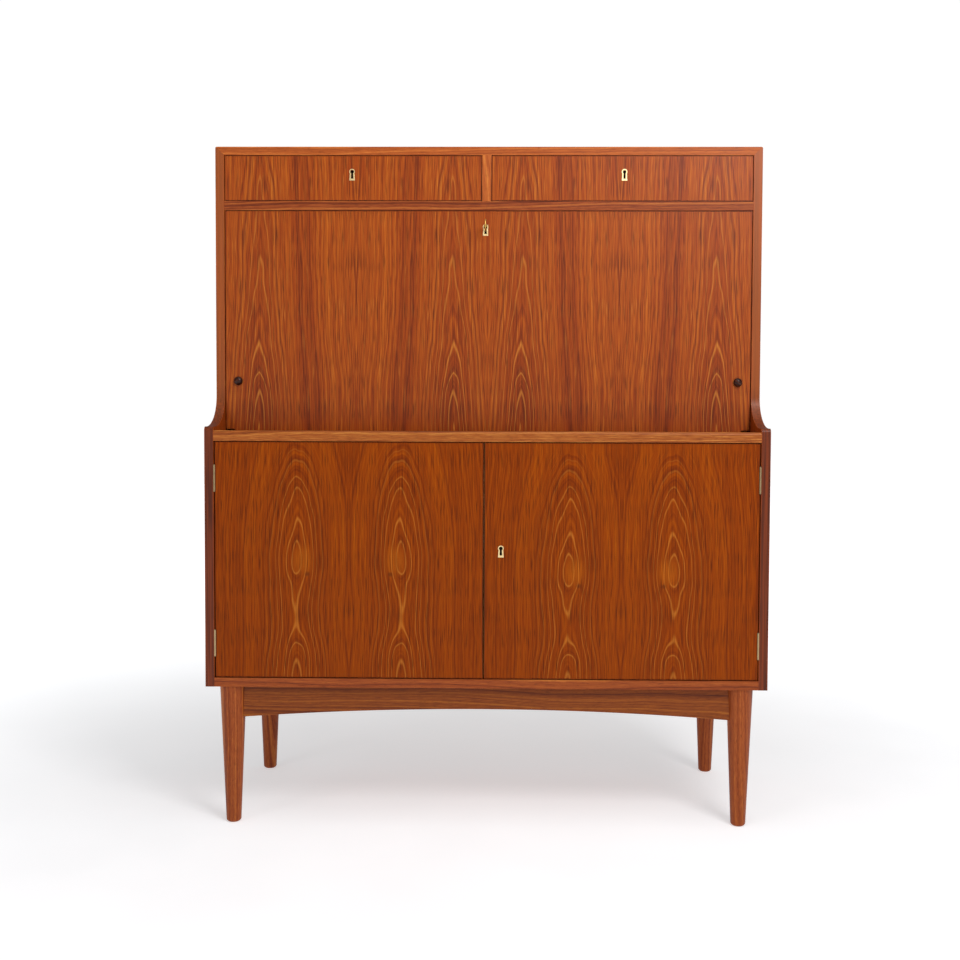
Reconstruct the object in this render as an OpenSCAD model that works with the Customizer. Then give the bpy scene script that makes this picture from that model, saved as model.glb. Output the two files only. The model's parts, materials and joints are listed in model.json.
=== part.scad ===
// Secretary desk: two drawers over a drop flap, set back on a deeper two-door cabinet with turned legs.
// X runs to the right, Y to the back and Z up, in millimetres. The origin is on the floor, under the
// middle of the whole desk. Depths are measured back from the front edges of the lower cabinet.

/* [Carcass] */
// Overall width
body_w = 1060; // [960:5:1160]
// Overall height
body_h = 1300; // [1270:5:1340]
// Overall depth, which is that of the lower cabinet
body_d = 415; // [405:5:455]
// How far the drawers and the flap stand behind the cabinet front
setback = 100; // [96:1:104]
// Thickness of the two side panels
side_t = 17; // [16:1:20]
// Thickness of the top board
top_t = 16; // [14:1:18]
// Thickness of the bottom board
bottom_t = 17; // [15:1:20]
// Radius of the two outer corners of the top
corner_r = 3; // [1:0.5:5]
// Thickness of the back panel
back_t = 5; // [4:0.5:6]

/* [Ledge and shoulder] */
// Height of the ledge in front of the flap
ledge_z = 750; // [740:1:760]
// Thickness of the ledge board
ledge_t = 20; // [18:1:22]
// Radius of the ledge board's front edge
ledge_r = 6; // [3:0.5:8]
// Height of the side panels' shoulder above the ledge
shoulder_h = 7; // [4:0.5:10]
// Radius of the shoulder's front corner
shoulder_r = 8; // [5:0.5:10]
// How far forward the sweep above the shoulder runs
sweep_d = 85; // [70:1:86]
// How far up the sweep above the shoulder runs
sweep_h = 62; // [50:1:80]

/* [Drawers] */
// Height of the drawer openings
drawer_open_h = 88.5; // [80:0.5:100]
// Thickness of the board under the drawers
rail_t = 17.5; // [15:0.5:20]
// Width of the divider between the drawers
divider_w = 18; // [14:1:20]
// Place of the divider, to the right of the middle
divider_x = -2.5; // [-6:0.5:6]
// Distance of the drawer locks from the middle
drawer_lock_x = 264; // [240:1:280]
// Thickness of the drawer sides and backs
drawer_side_t = 10; // [8:1:12]
// Thickness of the drawer bottoms
drawer_bottom_t = 4; // [3:0.5:5]

/* [Flap] */
// Thickness of the fronts: the flap, the doors and the drawer fronts
front_t = 18; // [18:1:19]
// How far the flap and the drawer fronts lie behind the side panels' edges
inset = 1.5; // [1:0.5:2]
// Gap between the flap and the side panels
flap_gap = 1.2; // [0.8:0.1:2]
// Place of the flap's lock, to the right of the middle
flap_lock_x = -4.5; // [-10:0.5:10]
// Radius of the two stop buttons
button_r = 8.5; // [7:0.5:9]
// Height of the stop buttons above the ledge
button_up = 96.5; // [90:0.5:104]
// Distance of the stop buttons from the side panels
button_in = 26; // [22:1:40]

/* [Doors] */
// Place of the gap between the doors, to the right of the middle
door_gap_x = -4.4; // [-8:0.2:8]
// Width of the gap between the doors
door_gap = 2.4; // [2:0.2:4]
// Height of the right door's keyhole
door_lock_z = 530; // [450:5:600]
// Height of the centre of the upper hinges
hinge_top_z = 660; // [630:5:680]
// Height of the centre of the lower hinges
hinge_low_z = 348; // [330:2:400]
// Thickness of the cabinet's shelves
shelf_t = 16; // [12:1:18]
// Height of the cabinet's shelves
shelf_z = 500; // [470:5:520]

/* [Base] */
// Height of the legs
leg_h = 265; // [250:1:275]
// Distance of the leg axes from the middle
leg_x = 483; // [440:1:485]
// Distance of the leg axes from the cabinet's front and back
leg_in = 27; // [26:1:40]
// Radius at the top of a leg
leg_top_r = 25; // [22:0.5:25]
// Radius at the foot of a leg
leg_foot_r = 14; // [12:0.5:16]
// Height of an apron at its ends
apron_h = 61; // [55:1:66]
// Rise of the arch under an apron
apron_rise = 17.5; // [0:0.5:22]
// Thickness of the aprons and the side rails
apron_t = 20; // [16:1:22]

/* [Hidden] */
$fn = 48;

// Wood and metal colours
teak = [0.62, 0.29, 0.12];
teak_edge = [0.68, 0.35, 0.17];
birch = [0.85, 0.72, 0.52];
rosewood = [0.20, 0.09, 0.07];
brass = [0.83, 0.68, 0.38];
old_brass = [0.45, 0.33, 0.17];
steel = [0.62, 0.62, 0.63];

// A cut runs this far past the face that it opens
past = 1;

// Carcass
front_y = -body_d / 2;
in_x = body_w / 2 - side_t;
back_d = body_d - back_t - 1;
back_lap = 8;
top_z = body_h - top_t;
drawer_z = top_z - drawer_open_h;
rail_z = drawer_z - rail_t;
floor_z = leg_h + bottom_t;
ledge_low_z = ledge_z - ledge_t;
shoulder_z = ledge_z + shoulder_h;
sweep_steps = 28;
shoulder_steps = 8;
partition_t = 17;

// Flap: it turns on two pins near its lower edge, and its buttons then rest on the ledge
flap_face = setback + inset;
flap_back = flap_face + front_t;
flap_low_z = ledge_z - 1;
flap_top_z = rail_z - 0.8;
flap_x = in_x - flap_gap;
flap_nose = 4;
flap_notch = [17, 4];
pivot_d = flap_face + 7;
pivot_z = ledge_z + 16;
pivot_r = 3;
pivot_in = 12;
pivot_out = 9;
bush_r = 5;
bush_l = 10;
run_clear = 0.05;
ledge_end = setback + 0.5;
deck_t = 16;
bed_t = 16;
bed_z = pivot_z + flap_back - pivot_d;
bed_d = pivot_d + 19.5;
bearer_w = 20;
stop_h = 12;
stop_t = 13.5;
button_rest = pivot_z - (pivot_d - flap_face) - ledge_z - 0.2;
button_rim = 2;
button_peg = [4, 10];

// Pigeonholes
pigeon_d = bed_d + 70;
pigeon_t = 12;
pigeon_z = bed_z + 184;
pigeon_bays = 4;

// Locks: x and z are measured from the axis of the key, and the bolt leaves on the side of +z
backset = 31;
lock_w = 40;
lock_low = 16;
lock_skin = 6;
selvedge = [44, 13, 1.5];
bolt_w = 14;
bolt_t = 4;
bolt_y = 10;
bolt_low = 8.6;
bolt_clear = 0.4;
bolt_travel = 5;
mortise_deep = bolt_travel + 1.5;
ward_r = 8;
ward_slot = [6, 13.8];
keyhole_r = 3.6;
// The keyhole's slot: its width above and below, and how far down it reaches
keyhole_slot = [3.4, 4.8, 13.3];
plate_t = 1.4;
plate_proud = 0.5;
plate_r = 5.4;
plate_waist = 4.5;
plate_drop = 17;
drawer_lock_z = top_z - 0.7 - backset;
flap_lock_z = flap_top_z - backset;
door_lock_x = door_gap_x + door_gap / 2 + backset;

// Key: y is measured back from the wooden face, so its bow has a negative one
key_shank_r = 2;
key_end_y = front_t - 4;
key_collar_r = 3;
key_collar_y = [-15, -12];
key_bit = [1.6, 5, 7.5];
key_bow_y = -27;
key_bow_t = 2.6;
key_bow_r = 8;
key_bow_half = 3;
key_eye_r = 4.5;

// Drawers
drawer_gap = 1;
drawer_front_z = [drawer_z + 1, top_z - 0.7];
drawer_side_z = [drawer_z + 0.4, top_z - 11];
drawer_end_d = back_d - 14;
groove_z = drawer_z + 6;
groove_in = 5;
drawer_back_low = 4;
tail_l = 12;
tail_base = 13;
tail_flare = 2.5;
tails = 3;
left_drawer_x = [-in_x + drawer_gap, divider_x - divider_w / 2 - drawer_gap];
right_drawer_x = [divider_x + divider_w / 2 + drawer_gap, in_x - drawer_gap];

// Doors and hinges: x is measured from the hinge pin towards the door
knuckle_r = 2.4;
knuckle_clear = 0.3;
hinge_gap = 0.8;
hinge_l = 50;
hinge_pin_r = 1.2;
leaf_t = 1.2;
leaf_w = 15;
door_knuckle_l = 17;
door_face = knuckle_r + 0.3;
door_back = door_face + front_t;
door_z = [floor_z + 1.3, ledge_low_z - 1.2];
pin_x = in_x - hinge_gap;
hinges_z = [hinge_low_z, hinge_top_z];
door_bolt_r = 2.5;
door_bolt_x = door_gap_x - 22;
door_bolt_d = door_back + 3.5;
door_bolt_travel = 8;
door_bolt_z = [door_z[1] - 43, door_z[1] - 1.3];
guides_z = [door_z[1] - 42, door_z[1] - 11];
guide = [12, 7, 6];
door_bolt_knob_z = door_bolt_z[0] + 14;
door_bolt_neck_r = 2;
door_bolt_knob_r = 3.5;

// Cabinet shelves
shelf_pin_r = 2.5;
shelf_pin_in = 8;
shelf_pins_d = [85, 360];
shelf_d = [45, back_d - 9];
partition_x = [door_gap_x - partition_t / 2, door_gap_x + partition_t / 2];

// Base
foot_edge = 3.5;
tenon = [8, 36];
tenon_z = leg_h - 7;
tenon_short = 4;
side_tenon_short = 7;
side_rail_h = 50;
arch_x = 458;
arch_steps = 32;
leg_d = [leg_in, body_d - leg_in];

// Screws: those of the back panel go down its sides and along its two ends
screw_head_r = 3.5;
screw_dome = 0.4;
screw_cone = 2.2;
screw_r = 1.75;
screw_point = 3;
back_screw_l = 18;
back_screw_in = 60;
back_screw_rows = 6;
back_screw_pitch = (body_h - leg_h - 2 * back_screw_in) / (back_screw_rows - 1);
end_screw_z = [leg_h + back_lap + 4.5, body_h - back_lap - 3.5];
end_screw_pitch = 0.42 * in_x;
frame_screw_l = 30;
frame_screw_z = leg_h - 20;
frame_screws_d = [body_d / 3, body_d * 2 / 3];
frame_screws_x = [-in_x / 2, in_x / 2];
counterbore_r = 4.5;

// ---------- shared shapes ----------

// A rectangular board from x[0] to x[1], with its depth and height given the same way
module board(x, d, z) {
    translate([x[0], front_y + d[0], z[0]])
        cube([x[1] - x[0], d[1] - d[0], z[1] - z[0]]);
}

// A cylinder along X from x[0] to x[1], at depth d and height z
module rod_x(x, d, z, r) {
    translate([x[0], front_y + d, z])
        rotate([0, 90, 0])
            cylinder(r = r, h = x[1] - x[0]);
}

// A cylinder along Y over the depths d[0] to d[1]
module rod_y(x, d, z, r) {
    translate([x, front_y + d[1], z])
        rotate([90, 0, 0])
            cylinder(r = r, h = d[1] - d[0]);
}

// Stands an outline drawn as (depth, height) up across the desk, from x[0] to x[1]
module across(x) {
    translate([x[0], front_y, 0])
        rotate([90, 0, 90])
            linear_extrude(x[1] - x[0])
                children();
}

// Stands an outline drawn as (x, height) up, from depth d[0] to d[1]
module along(d) {
    translate([0, front_y + d[1], 0])
        rotate([90, 0, 0])
            linear_extrude(d[1] - d[0])
                children();
}

// The room that the back panel takes out of the carcass
module back_void() {
    board([-in_x - back_lap, in_x + back_lap], [back_d, body_d + past],
          [leg_h + back_lap, body_h - back_lap]);
}

// What comes off the top's two outer corners
module corner_void() {
    for (side = [0, 1])
        mirror([side, 0, 0])
            along([0, body_d + past])
                difference() {
                    translate([body_w / 2 - corner_r, body_h - corner_r])
                        square(corner_r + past);
                    translate([body_w / 2 - corner_r, body_h - corner_r])
                        circle(r = corner_r);
                }
}

// ---------- lock parts, drawn round the key's axis at a wooden face ----------

module at_lock(x, d, z) {
    translate([x, front_y + d, z])
        children();
}

// Turned on its side for the door, with the bolt leaving to the left
module at_door_lock() {
    at_lock(door_lock_x, door_face, door_lock_z)
        rotate([0, -90, 0])
            children();
}

module lock_block() {
    translate([-lock_w / 2, lock_skin, -lock_low])
        cube([lock_w, front_t - lock_skin, lock_low + backset]);
    translate([-selvedge[0] / 2, front_t - selvedge[1], backset - selvedge[2]])
        cube(selvedge);
}

// The room behind the keyhole points down once the lock is turned by -turn
module lock_case(turn = 0) {
    difference() {
        lock_block();
        rotate([0, turn, 0])
            translate([-ward_slot[0] / 2, lock_skin - past, -ward_slot[1]])
                cube([ward_slot[0], front_t - 2 - lock_skin + past, ward_slot[1]]);
        translate([-bolt_w / 2 - bolt_clear, bolt_y - bolt_clear, bolt_low - 3])
            cube([bolt_w + 2 * bolt_clear, bolt_t + 2 * bolt_clear, backset]);
        translate([0, front_t - 2, 0])
            rotate([90, 0, 0])
                cylinder(r = ward_r, h = front_t);
    }
}

module lock_bolt() {
    translate([-bolt_w / 2, bolt_y, bolt_low])
        cube([bolt_w, bolt_t, backset - bolt_low]);
}

// Mortise for the bolt in the board or door next to the lock's edge
module bolt_mortise() {
    translate([-bolt_w / 2 - bolt_clear, bolt_y - bolt_clear, backset])
        cube([bolt_w + 2 * bolt_clear, bolt_t + 2 * bolt_clear, mortise_deep]);
}

// Stands an outline drawn as (x, height) up over the depths y[0] to y[1] behind the wooden face
module plate(y) {
    translate([0, y[1], 0])
        rotate([90, 0, 0])
            linear_extrude(y[1] - y[0])
                children();
}

module key_way(y) {
    plate(y)
        circle(r = keyhole_r);
    plate(y)
        polygon([[-keyhole_slot[0] / 2, 0], [keyhole_slot[0] / 2, 0],
                 [keyhole_slot[1] / 2, -keyhole_slot[2]], [-keyhole_slot[1] / 2, -keyhole_slot[2]]]);
}

module escutcheon_blank(y) {
    plate(y)
        circle(r = plate_r);
    plate(y)
        polygon([[-plate_waist, -plate_r / 2], [plate_waist, -plate_r / 2],
                 [plate_r, -plate_drop], [-plate_r, -plate_drop]]);
}

// The keyhole through the wood, and the bed of the escutcheon
module keyhole() {
    key_way([-past, lock_skin + past]);
    escutcheon_blank([-past, plate_t - plate_proud]);
}

module escutcheon() {
    color(brass)
        difference() {
            escutcheon_blank([-plate_proud, plate_t - plate_proud]);
            key_way([-past, plate_t]);
        }
}

// ---------- carcass ----------

module shoulder_outline() {
    polygon(concat(
        [[body_d, body_h], [body_d, leg_h], [0, leg_h]],
        [for (i = [0:shoulder_steps]) let (a = 180 - 90 * i / shoulder_steps)
            [shoulder_r + shoulder_r * cos(a), shoulder_z - shoulder_r + shoulder_r * sin(a)]],
        [for (i = [0:sweep_steps]) let (a = 90 * i / sweep_steps)
            [setback - sweep_d + sweep_d * sin(a), shoulder_z + sweep_h - sweep_h * cos(a)]],
        [[setback, body_h]]
    ));
}

module side_panel() {
    color(teak)
        difference() {
            across([-body_w / 2, -in_x])
                shoulder_outline();
            along([0, body_d + past])
                polygon([[-body_w / 2, body_h], [-in_x, top_z], [-in_x + past, top_z],
                         [-in_x + past, body_h + past], [-body_w / 2, body_h + past]]);
            corner_void();
            back_void();
            rod_x([-in_x - bush_l, -in_x + past], pivot_d, pivot_z, bush_r);
            for (z = hinges_z)
                translate([-pin_x, front_y + knuckle_r, z]) {
                    hinge_room();
                    translate([-hinge_gap - leaf_t, 0, -hinge_l / 2])
                        cube([leaf_t + past, leaf_w + knuckle_r + knuckle_clear, hinge_l]);
                }
            shelf_pins();
        }
}

module left_side_panel() { side_panel(); }

module right_side_panel() { mirror([1, 0, 0]) side_panel(); }

module top_board() {
    color(teak)
        difference() {
            along([setback, body_d])
                polygon([[-body_w / 2, body_h], [body_w / 2, body_h], [in_x, top_z], [-in_x, top_z]]);
            corner_void();
            back_void();
            for (side = [-1, 1])
                at_lock(side * drawer_lock_x, flap_face, drawer_lock_z)
                    bolt_mortise();
        }
}

module drawer_rail_board() {
    color(teak_edge)
        difference() {
            board([-in_x, in_x], [setback, back_d], [rail_z, drawer_z]);
            at_lock(flap_lock_x, flap_face, flap_lock_z)
                bolt_mortise();
        }
}

module drawer_divider() {
    color(teak_edge)
        board([divider_x - divider_w / 2, divider_x + divider_w / 2], [setback, back_d],
              [drawer_z, top_z]);
}

module ledge_board() {
    color(teak_edge)
        difference() {
            board([-in_x, in_x], [0, ledge_end], [ledge_low_z, ledge_z]);
            across([-in_x - past, in_x + past])
                difference() {
                    translate([-past, ledge_z - ledge_r])
                        square(ledge_r + past);
                    translate([ledge_r, ledge_z - ledge_r])
                        circle(r = ledge_r);
                }
            translate([door_bolt_x, front_y + door_bolt_d, ledge_low_z - past])
                cylinder(r = door_bolt_r + 0.5, h = door_bolt_travel + 2 * past);
        }
}

module cabinet_deck() {
    color(birch)
        board([-in_x, in_x], [ledge_end, back_d], [ledge_low_z, ledge_low_z + deck_t]);
}

module desk_bed() {
    color(teak)
        board([-in_x, in_x], [bed_d, back_d], [bed_z - bed_t, bed_z]);
}

module bed_bearers() {
    color(birch)
        for (d = [bed_d + 2, (bed_d + back_d - bearer_w) / 2, back_d - bearer_w - 2])
            board([-in_x, in_x], [d, d + bearer_w], [ledge_low_z + deck_t, bed_z - bed_t]);
}

module pigeonhole_shelf() {
    color(teak)
        board([-in_x, in_x], [pigeon_d, back_d], [pigeon_z, pigeon_z + pigeon_t]);
}

module pigeonhole_dividers() {
    color(teak) {
        for (i = [1:pigeon_bays - 1]) {
            x = -in_x + 2 * in_x * i / pigeon_bays;
            board([x - pigeon_t / 2, x + pigeon_t / 2], [pigeon_d, back_d], [bed_z, pigeon_z]);
        }
        board([-pigeon_t / 2, pigeon_t / 2], [pigeon_d, back_d], [pigeon_z + pigeon_t, rail_z]);
    }
}

module flap_stop() {
    color(teak)
        board([-in_x, in_x], [flap_back + 0.5, flap_back + 0.5 + stop_t], [rail_z - stop_h, rail_z]);
}

module bottom_board() {
    color(teak)
        difference() {
            board([-in_x, in_x], [0, body_d], [leg_h, floor_z]);
            back_void();
        }
}

module centre_partition() {
    color(birch)
        difference() {
            board(partition_x, [door_back + 2, back_d], [floor_z, ledge_low_z]);
            shelf_pins();
        }
}

module cabinet_shelf(x) {
    color(birch)
        board(x, shelf_d, [shelf_z, shelf_z + shelf_t]);
}

module left_shelf() { cabinet_shelf([-in_x + past, partition_x[0] - past]); }

module right_shelf() { cabinet_shelf([partition_x[1] + past, in_x - past]); }

module shelf_pins() {
    color(brass)
        for (x = [-in_x, partition_x[0], partition_x[1], in_x], d = shelf_pins_d)
            rod_x([x - shelf_pin_in, x + shelf_pin_in], d, shelf_z - shelf_pin_r, shelf_pin_r);
}

module back_panel() {
    color(birch)
        board([-in_x - back_lap, in_x + back_lap], [back_d, back_d + back_t],
              [leg_h + back_lap, body_h - back_lap]);
}

// A countersunk screw with its point on +Z, and its raised head at the origin
module screw(l) {
    rotate_extrude()
        polygon([[0, -screw_dome], [screw_head_r - 1, -screw_dome], [screw_head_r, 0],
                 [screw_r, screw_cone], [screw_r, l - screw_point], [0, l]]);
}

module back_screw(x, z) {
    translate([x, front_y + back_d + back_t, z])
        rotate([90, 0, 0])
            screw(back_screw_l);
}

module frame_screw(x, d) {
    translate([x, front_y + d, frame_screw_z])
        screw(frame_screw_l);
}

// The back panel's screws, and those that hold the carcass on the aprons and side rails
module carcass_screws() {
    color(steel) {
        for (x = [-1, 1] * (in_x + back_lap / 2), i = [0:back_screw_rows - 1])
            back_screw(x, leg_h + back_screw_in + i * back_screw_pitch);
        for (z = end_screw_z, i = [-2:2])
            back_screw(i * end_screw_pitch, z);
        for (x = [-leg_x, leg_x], d = frame_screws_d)
            frame_screw(x, d);
        for (x = frame_screws_x, d = leg_d)
            frame_screw(x, d);
    }
}

module pivot_bushes() {
    color(old_brass)
        for (side = [0, 1])
            mirror([side, 0, 0])
                difference() {
                    rod_x([in_x, in_x + bush_l], pivot_d, pivot_z, bush_r);
                    rod_x([in_x - past, in_x + bush_l - 1], pivot_d, pivot_z, pivot_r + run_clear);
                }
}

// ---------- base ----------

module leg_blank(x, d) {
    translate([x, front_y + d, 0])
        rotate_extrude()
            polygon([[0, 0], [leg_foot_r - foot_edge, 0], [leg_foot_r, foot_edge],
                     [leg_top_r, leg_h], [0, leg_h]]);
}

module all_legs() {
    for (x = [-leg_x, leg_x], d = leg_d)
        leg_blank(x, d);
}

module apron_tenon(d) {
    board([-leg_x + tenon_short, leg_x - tenon_short], [d - tenon[0] / 2, d + tenon[0] / 2],
          [tenon_z - tenon[1], tenon_z]);
}

module side_tenon(x) {
    board([x - tenon[0] / 2, x + tenon[0] / 2], [leg_d[0] + side_tenon_short, leg_d[1] - side_tenon_short],
          [tenon_z - tenon[1], tenon_z]);
}

module leg(x, d) {
    color(teak)
        difference() {
            leg_blank(x, d);
            apron_tenon(d);
            side_tenon(x);
        }
}

module front_left_leg() { leg(-leg_x, leg_d[0]); }

module front_right_leg() { leg(leg_x, leg_d[0]); }

module back_left_leg() { leg(-leg_x, leg_d[1]); }

module back_right_leg() { leg(leg_x, leg_d[1]); }

module screw_well(x, d) {
    translate([x, front_y + d, 0])
        cylinder(r = counterbore_r, h = frame_screw_z);
}

module apron(d) {
    low_z = leg_h - apron_h;
    color(teak)
        difference() {
            union() {
                difference() {
                    along([d - apron_t / 2, d + apron_t / 2])
                        polygon(concat(
                            [[leg_x, low_z], [leg_x, leg_h], [-leg_x, leg_h], [-leg_x, low_z]],
                            [for (i = [0:arch_steps]) let (u = 2 * i / arch_steps - 1)
                                [arch_x * u, low_z + apron_rise * (1 - u * u)]]
                        ));
                    all_legs();
                }
                apron_tenon(d);
            }
            for (x = frame_screws_x)
                screw_well(x, d);
        }
}

module front_apron() { apron(leg_d[0]); }

module back_apron() { apron(leg_d[1]); }

module side_rail(x) {
    color(teak)
        difference() {
            union() {
                difference() {
                    board([x - apron_t / 2, x + apron_t / 2], leg_d, [leg_h - side_rail_h, leg_h]);
                    all_legs();
                }
                side_tenon(x);
            }
            for (d = frame_screws_d)
                screw_well(x, d);
        }
}

module left_side_rail() { side_rail(-leg_x); }

module right_side_rail() { side_rail(leg_x); }

// ---------- hinges, drawn round a pin on the left with its door on the right ----------

module hinge_room() {
    cylinder(r = knuckle_r + knuckle_clear, h = hinge_l + 2 * past, center = true);
}

// One leaf's plate and the web that joins it to its knuckles, from height z[0] to z[1]
module leaf_plate(x) {
    translate([x, knuckle_r + knuckle_clear, -hinge_l / 2])
        cube([leaf_t, leaf_w, hinge_l]);
}

module knuckle(x, z) {
    translate([0, 0, z[0]])
        cylinder(r = knuckle_r, h = z[1] - z[0]);
    translate([x, 0, z[0]])
        cube([leaf_t, knuckle_r + knuckle_clear + past, z[1] - z[0]]);
}

module case_leaf() {
    end_z = hinge_l / 2;
    gap_z = door_knuckle_l / 2 + knuckle_clear;
    leaf_plate(-hinge_gap - leaf_t);
    knuckle(-hinge_gap - leaf_t, [gap_z, end_z]);
    knuckle(-hinge_gap - leaf_t, [-end_z, -gap_z]);
    cylinder(r = hinge_pin_r, h = hinge_l, center = true);
}

module door_leaf() {
    difference() {
        union() {
            leaf_plate(hinge_gap);
            knuckle(hinge_gap, [-1, 1] * door_knuckle_l / 2);
        }
        cylinder(r = hinge_pin_r + run_clear, h = hinge_l, center = true);
    }
}

module at_hinges(side) {
    mirror([side, 0, 0])
        for (z = hinges_z)
            translate([-pin_x, front_y + knuckle_r, z])
                children();
}

module hinge_case_leaves() {
    color(old_brass)
        for (side = [0, 1])
            at_hinges(side)
                case_leaf();
}

module left_door_hinge_leaves() {
    color(old_brass)
        at_hinges(0)
            door_leaf();
}

module right_door_hinge_leaves() {
    color(old_brass)
        at_hinges(1)
            door_leaf();
}

// What a door gives up for its hinges
module door_hinge_room(side) {
    at_hinges(side) {
        hinge_room();
        translate([hinge_gap - past, 0, -hinge_l / 2])
            cube([leaf_t + past, leaf_w + knuckle_r + knuckle_clear, hinge_l]);
    }
}

// ---------- drawers, between the two ends x ----------

// The side's outline with its dovetails, as (depth, height)
module drawer_side_outline() {
    low_z = drawer_side_z[0];
    pitch = (drawer_side_z[1] - low_z) / tails;
    translate([flap_back, low_z])
        square([drawer_end_d - flap_back, drawer_side_z[1] - low_z]);
    for (i = [0:tails - 1]) {
        z = low_z + pitch * (i + 0.5);
        polygon([[flap_back, z - tail_base / 2], [flap_back, z + tail_base / 2],
                 [flap_back - tail_l, z + tail_base / 2 + tail_flare],
                 [flap_back - tail_l, z - tail_base / 2 - tail_flare]]);
    }
}

module drawer_sides_blank(x) {
    across([x[0], x[0] + drawer_side_t])
        drawer_side_outline();
    across([x[1] - drawer_side_t, x[1]])
        drawer_side_outline();
}

module drawer_bottom(x) {
    color(birch)
        board([x[0] + groove_in, x[1] - groove_in], [flap_back - groove_in, drawer_end_d],
              [groove_z, groove_z + drawer_bottom_t]);
}

module drawer_sides(x) {
    color(birch)
        difference() {
            drawer_sides_blank(x);
            drawer_bottom(x);
        }
}

module drawer_back(x) {
    color(birch)
        board([x[0] + drawer_side_t, x[1] - drawer_side_t], [drawer_end_d - drawer_side_t, drawer_end_d],
              [groove_z + drawer_bottom_t, drawer_side_z[1] - drawer_back_low]);
}

module drawer_front(x, lock_x) {
    color(teak)
        difference() {
            board(x, [flap_face, flap_back], drawer_front_z);
            drawer_sides_blank(x);
            drawer_bottom(x);
            at_lock(lock_x, flap_face, drawer_lock_z) {
                lock_block();
                keyhole();
            }
        }
}

module drawer_lock(lock_x) {
    color(steel)
        at_lock(lock_x, flap_face, drawer_lock_z)
            lock_case();
}

module drawer_bolt(lock_x) {
    color(brass)
        at_lock(lock_x, flap_face, drawer_lock_z)
            lock_bolt();
}

module left_drawer_front() { drawer_front(left_drawer_x, -drawer_lock_x); }

module left_drawer_sides() { drawer_sides(left_drawer_x); }

module left_drawer_back() { drawer_back(left_drawer_x); }

module left_drawer_bottom() { drawer_bottom(left_drawer_x); }

module left_drawer_lock() { drawer_lock(-drawer_lock_x); }

module left_drawer_bolt() { drawer_bolt(-drawer_lock_x); }

module left_drawer_escutcheon() { at_lock(-drawer_lock_x, flap_face, drawer_lock_z) escutcheon(); }

module right_drawer_front() { drawer_front(right_drawer_x, drawer_lock_x); }

module right_drawer_sides() { drawer_sides(right_drawer_x); }

module right_drawer_back() { drawer_back(right_drawer_x); }

module right_drawer_bottom() { drawer_bottom(right_drawer_x); }

module right_drawer_lock() { drawer_lock(drawer_lock_x); }

module right_drawer_bolt() { drawer_bolt(drawer_lock_x); }

module right_drawer_escutcheon() { at_lock(drawer_lock_x, flap_face, drawer_lock_z) escutcheon(); }

// ---------- flap ----------

module flap_panel() {
    color(teak)
        difference() {
            across([-flap_x, flap_x])
                polygon([[flap_face, flap_low_z], [flap_back - flap_nose, flap_low_z],
                         [flap_back, flap_low_z + flap_nose], [flap_back, flap_top_z],
                         [flap_face, flap_top_z]]);
            for (side = [0, 1])
                mirror([side, 0, 0])
                    board([flap_x - flap_notch[0], flap_x + past], [setback, flap_back + past],
                          [flap_low_z - past, flap_low_z + flap_notch[1]]);
            flap_pivots();
            flap_buttons();
            at_lock(flap_lock_x, flap_face, flap_lock_z) {
                lock_block();
                keyhole();
            }
        }
}

module flap_buttons() {
    cap_h = button_rest - button_rim;
    cap_r = (button_r * button_r + cap_h * cap_h) / (2 * cap_h);
    color(rosewood)
        for (x = [-1, 1] * (in_x - button_in))
            translate([x, front_y + flap_face, ledge_z + button_up])
                rotate([90, 0, 0]) {
                    translate([0, 0, -button_peg[1]])
                        cylinder(r = button_peg[0], h = button_peg[1] + past);
                    cylinder(r = button_r, h = button_rim);
                    intersection() {
                        translate([0, 0, button_rest - cap_r])
                            sphere(r = cap_r);
                        translate([0, 0, button_rim])
                            cylinder(r = button_r, h = cap_h + past);
                    }
                }
}

module flap_pivots() {
    color(old_brass)
        for (side = [0, 1])
            mirror([side, 0, 0])
                rod_x([flap_x - pivot_in, in_x + pivot_out - 1], pivot_d, pivot_z, pivot_r);
}

module flap_lock() {
    color(steel)
        at_lock(flap_lock_x, flap_face, flap_lock_z)
            lock_case();
}

module flap_bolt() {
    color(brass)
        at_lock(flap_lock_x, flap_face, flap_lock_z)
            lock_bolt();
}

module flap_escutcheon() { at_lock(flap_lock_x, flap_face, flap_lock_z) escutcheon(); }

// A round length of the key, from y[0] to y[1] behind the wooden face
module key_rod(y, r) {
    translate([0, y[1], 0])
        rotate([90, 0, 0])
            cylinder(r = r, h = y[1] - y[0]);
}

// An upright oval of thickness t and end radius r, standing in line with the key
module key_oval(t, r) {
    for (z = [-1, 1] * key_bow_half)
        translate([-t / 2, key_bow_y, z])
            rotate([0, 90, 0])
                cylinder(r = r, h = t);
    translate([-t / 2, key_bow_y - r, -key_bow_half])
        cube([t, 2 * r, 2 * key_bow_half]);
}

// Shank, collar and bit, with an oval bow on edge to the front
module flap_key() {
    color(brass)
        at_lock(flap_lock_x, flap_face, flap_lock_z) {
            key_rod([key_bow_y + key_bow_r, key_end_y], key_shank_r);
            key_rod(key_collar_y, key_collar_r);
            translate([-key_bit[0] / 2, key_end_y - 1 - key_bit[1], -key_bit[2]])
                cube(key_bit);
            difference() {
                key_oval(key_bow_t, key_bow_r);
                key_oval(2 * key_bow_t, key_eye_r);
            }
        }
}

// ---------- doors ----------

module left_door_panel() {
    color(teak)
        difference() {
            board([-pin_x + hinge_gap, door_gap_x - door_gap / 2], [door_face, door_back], door_z);
            door_hinge_room(0);
            at_door_lock()
                bolt_mortise();
        }
}

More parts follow.
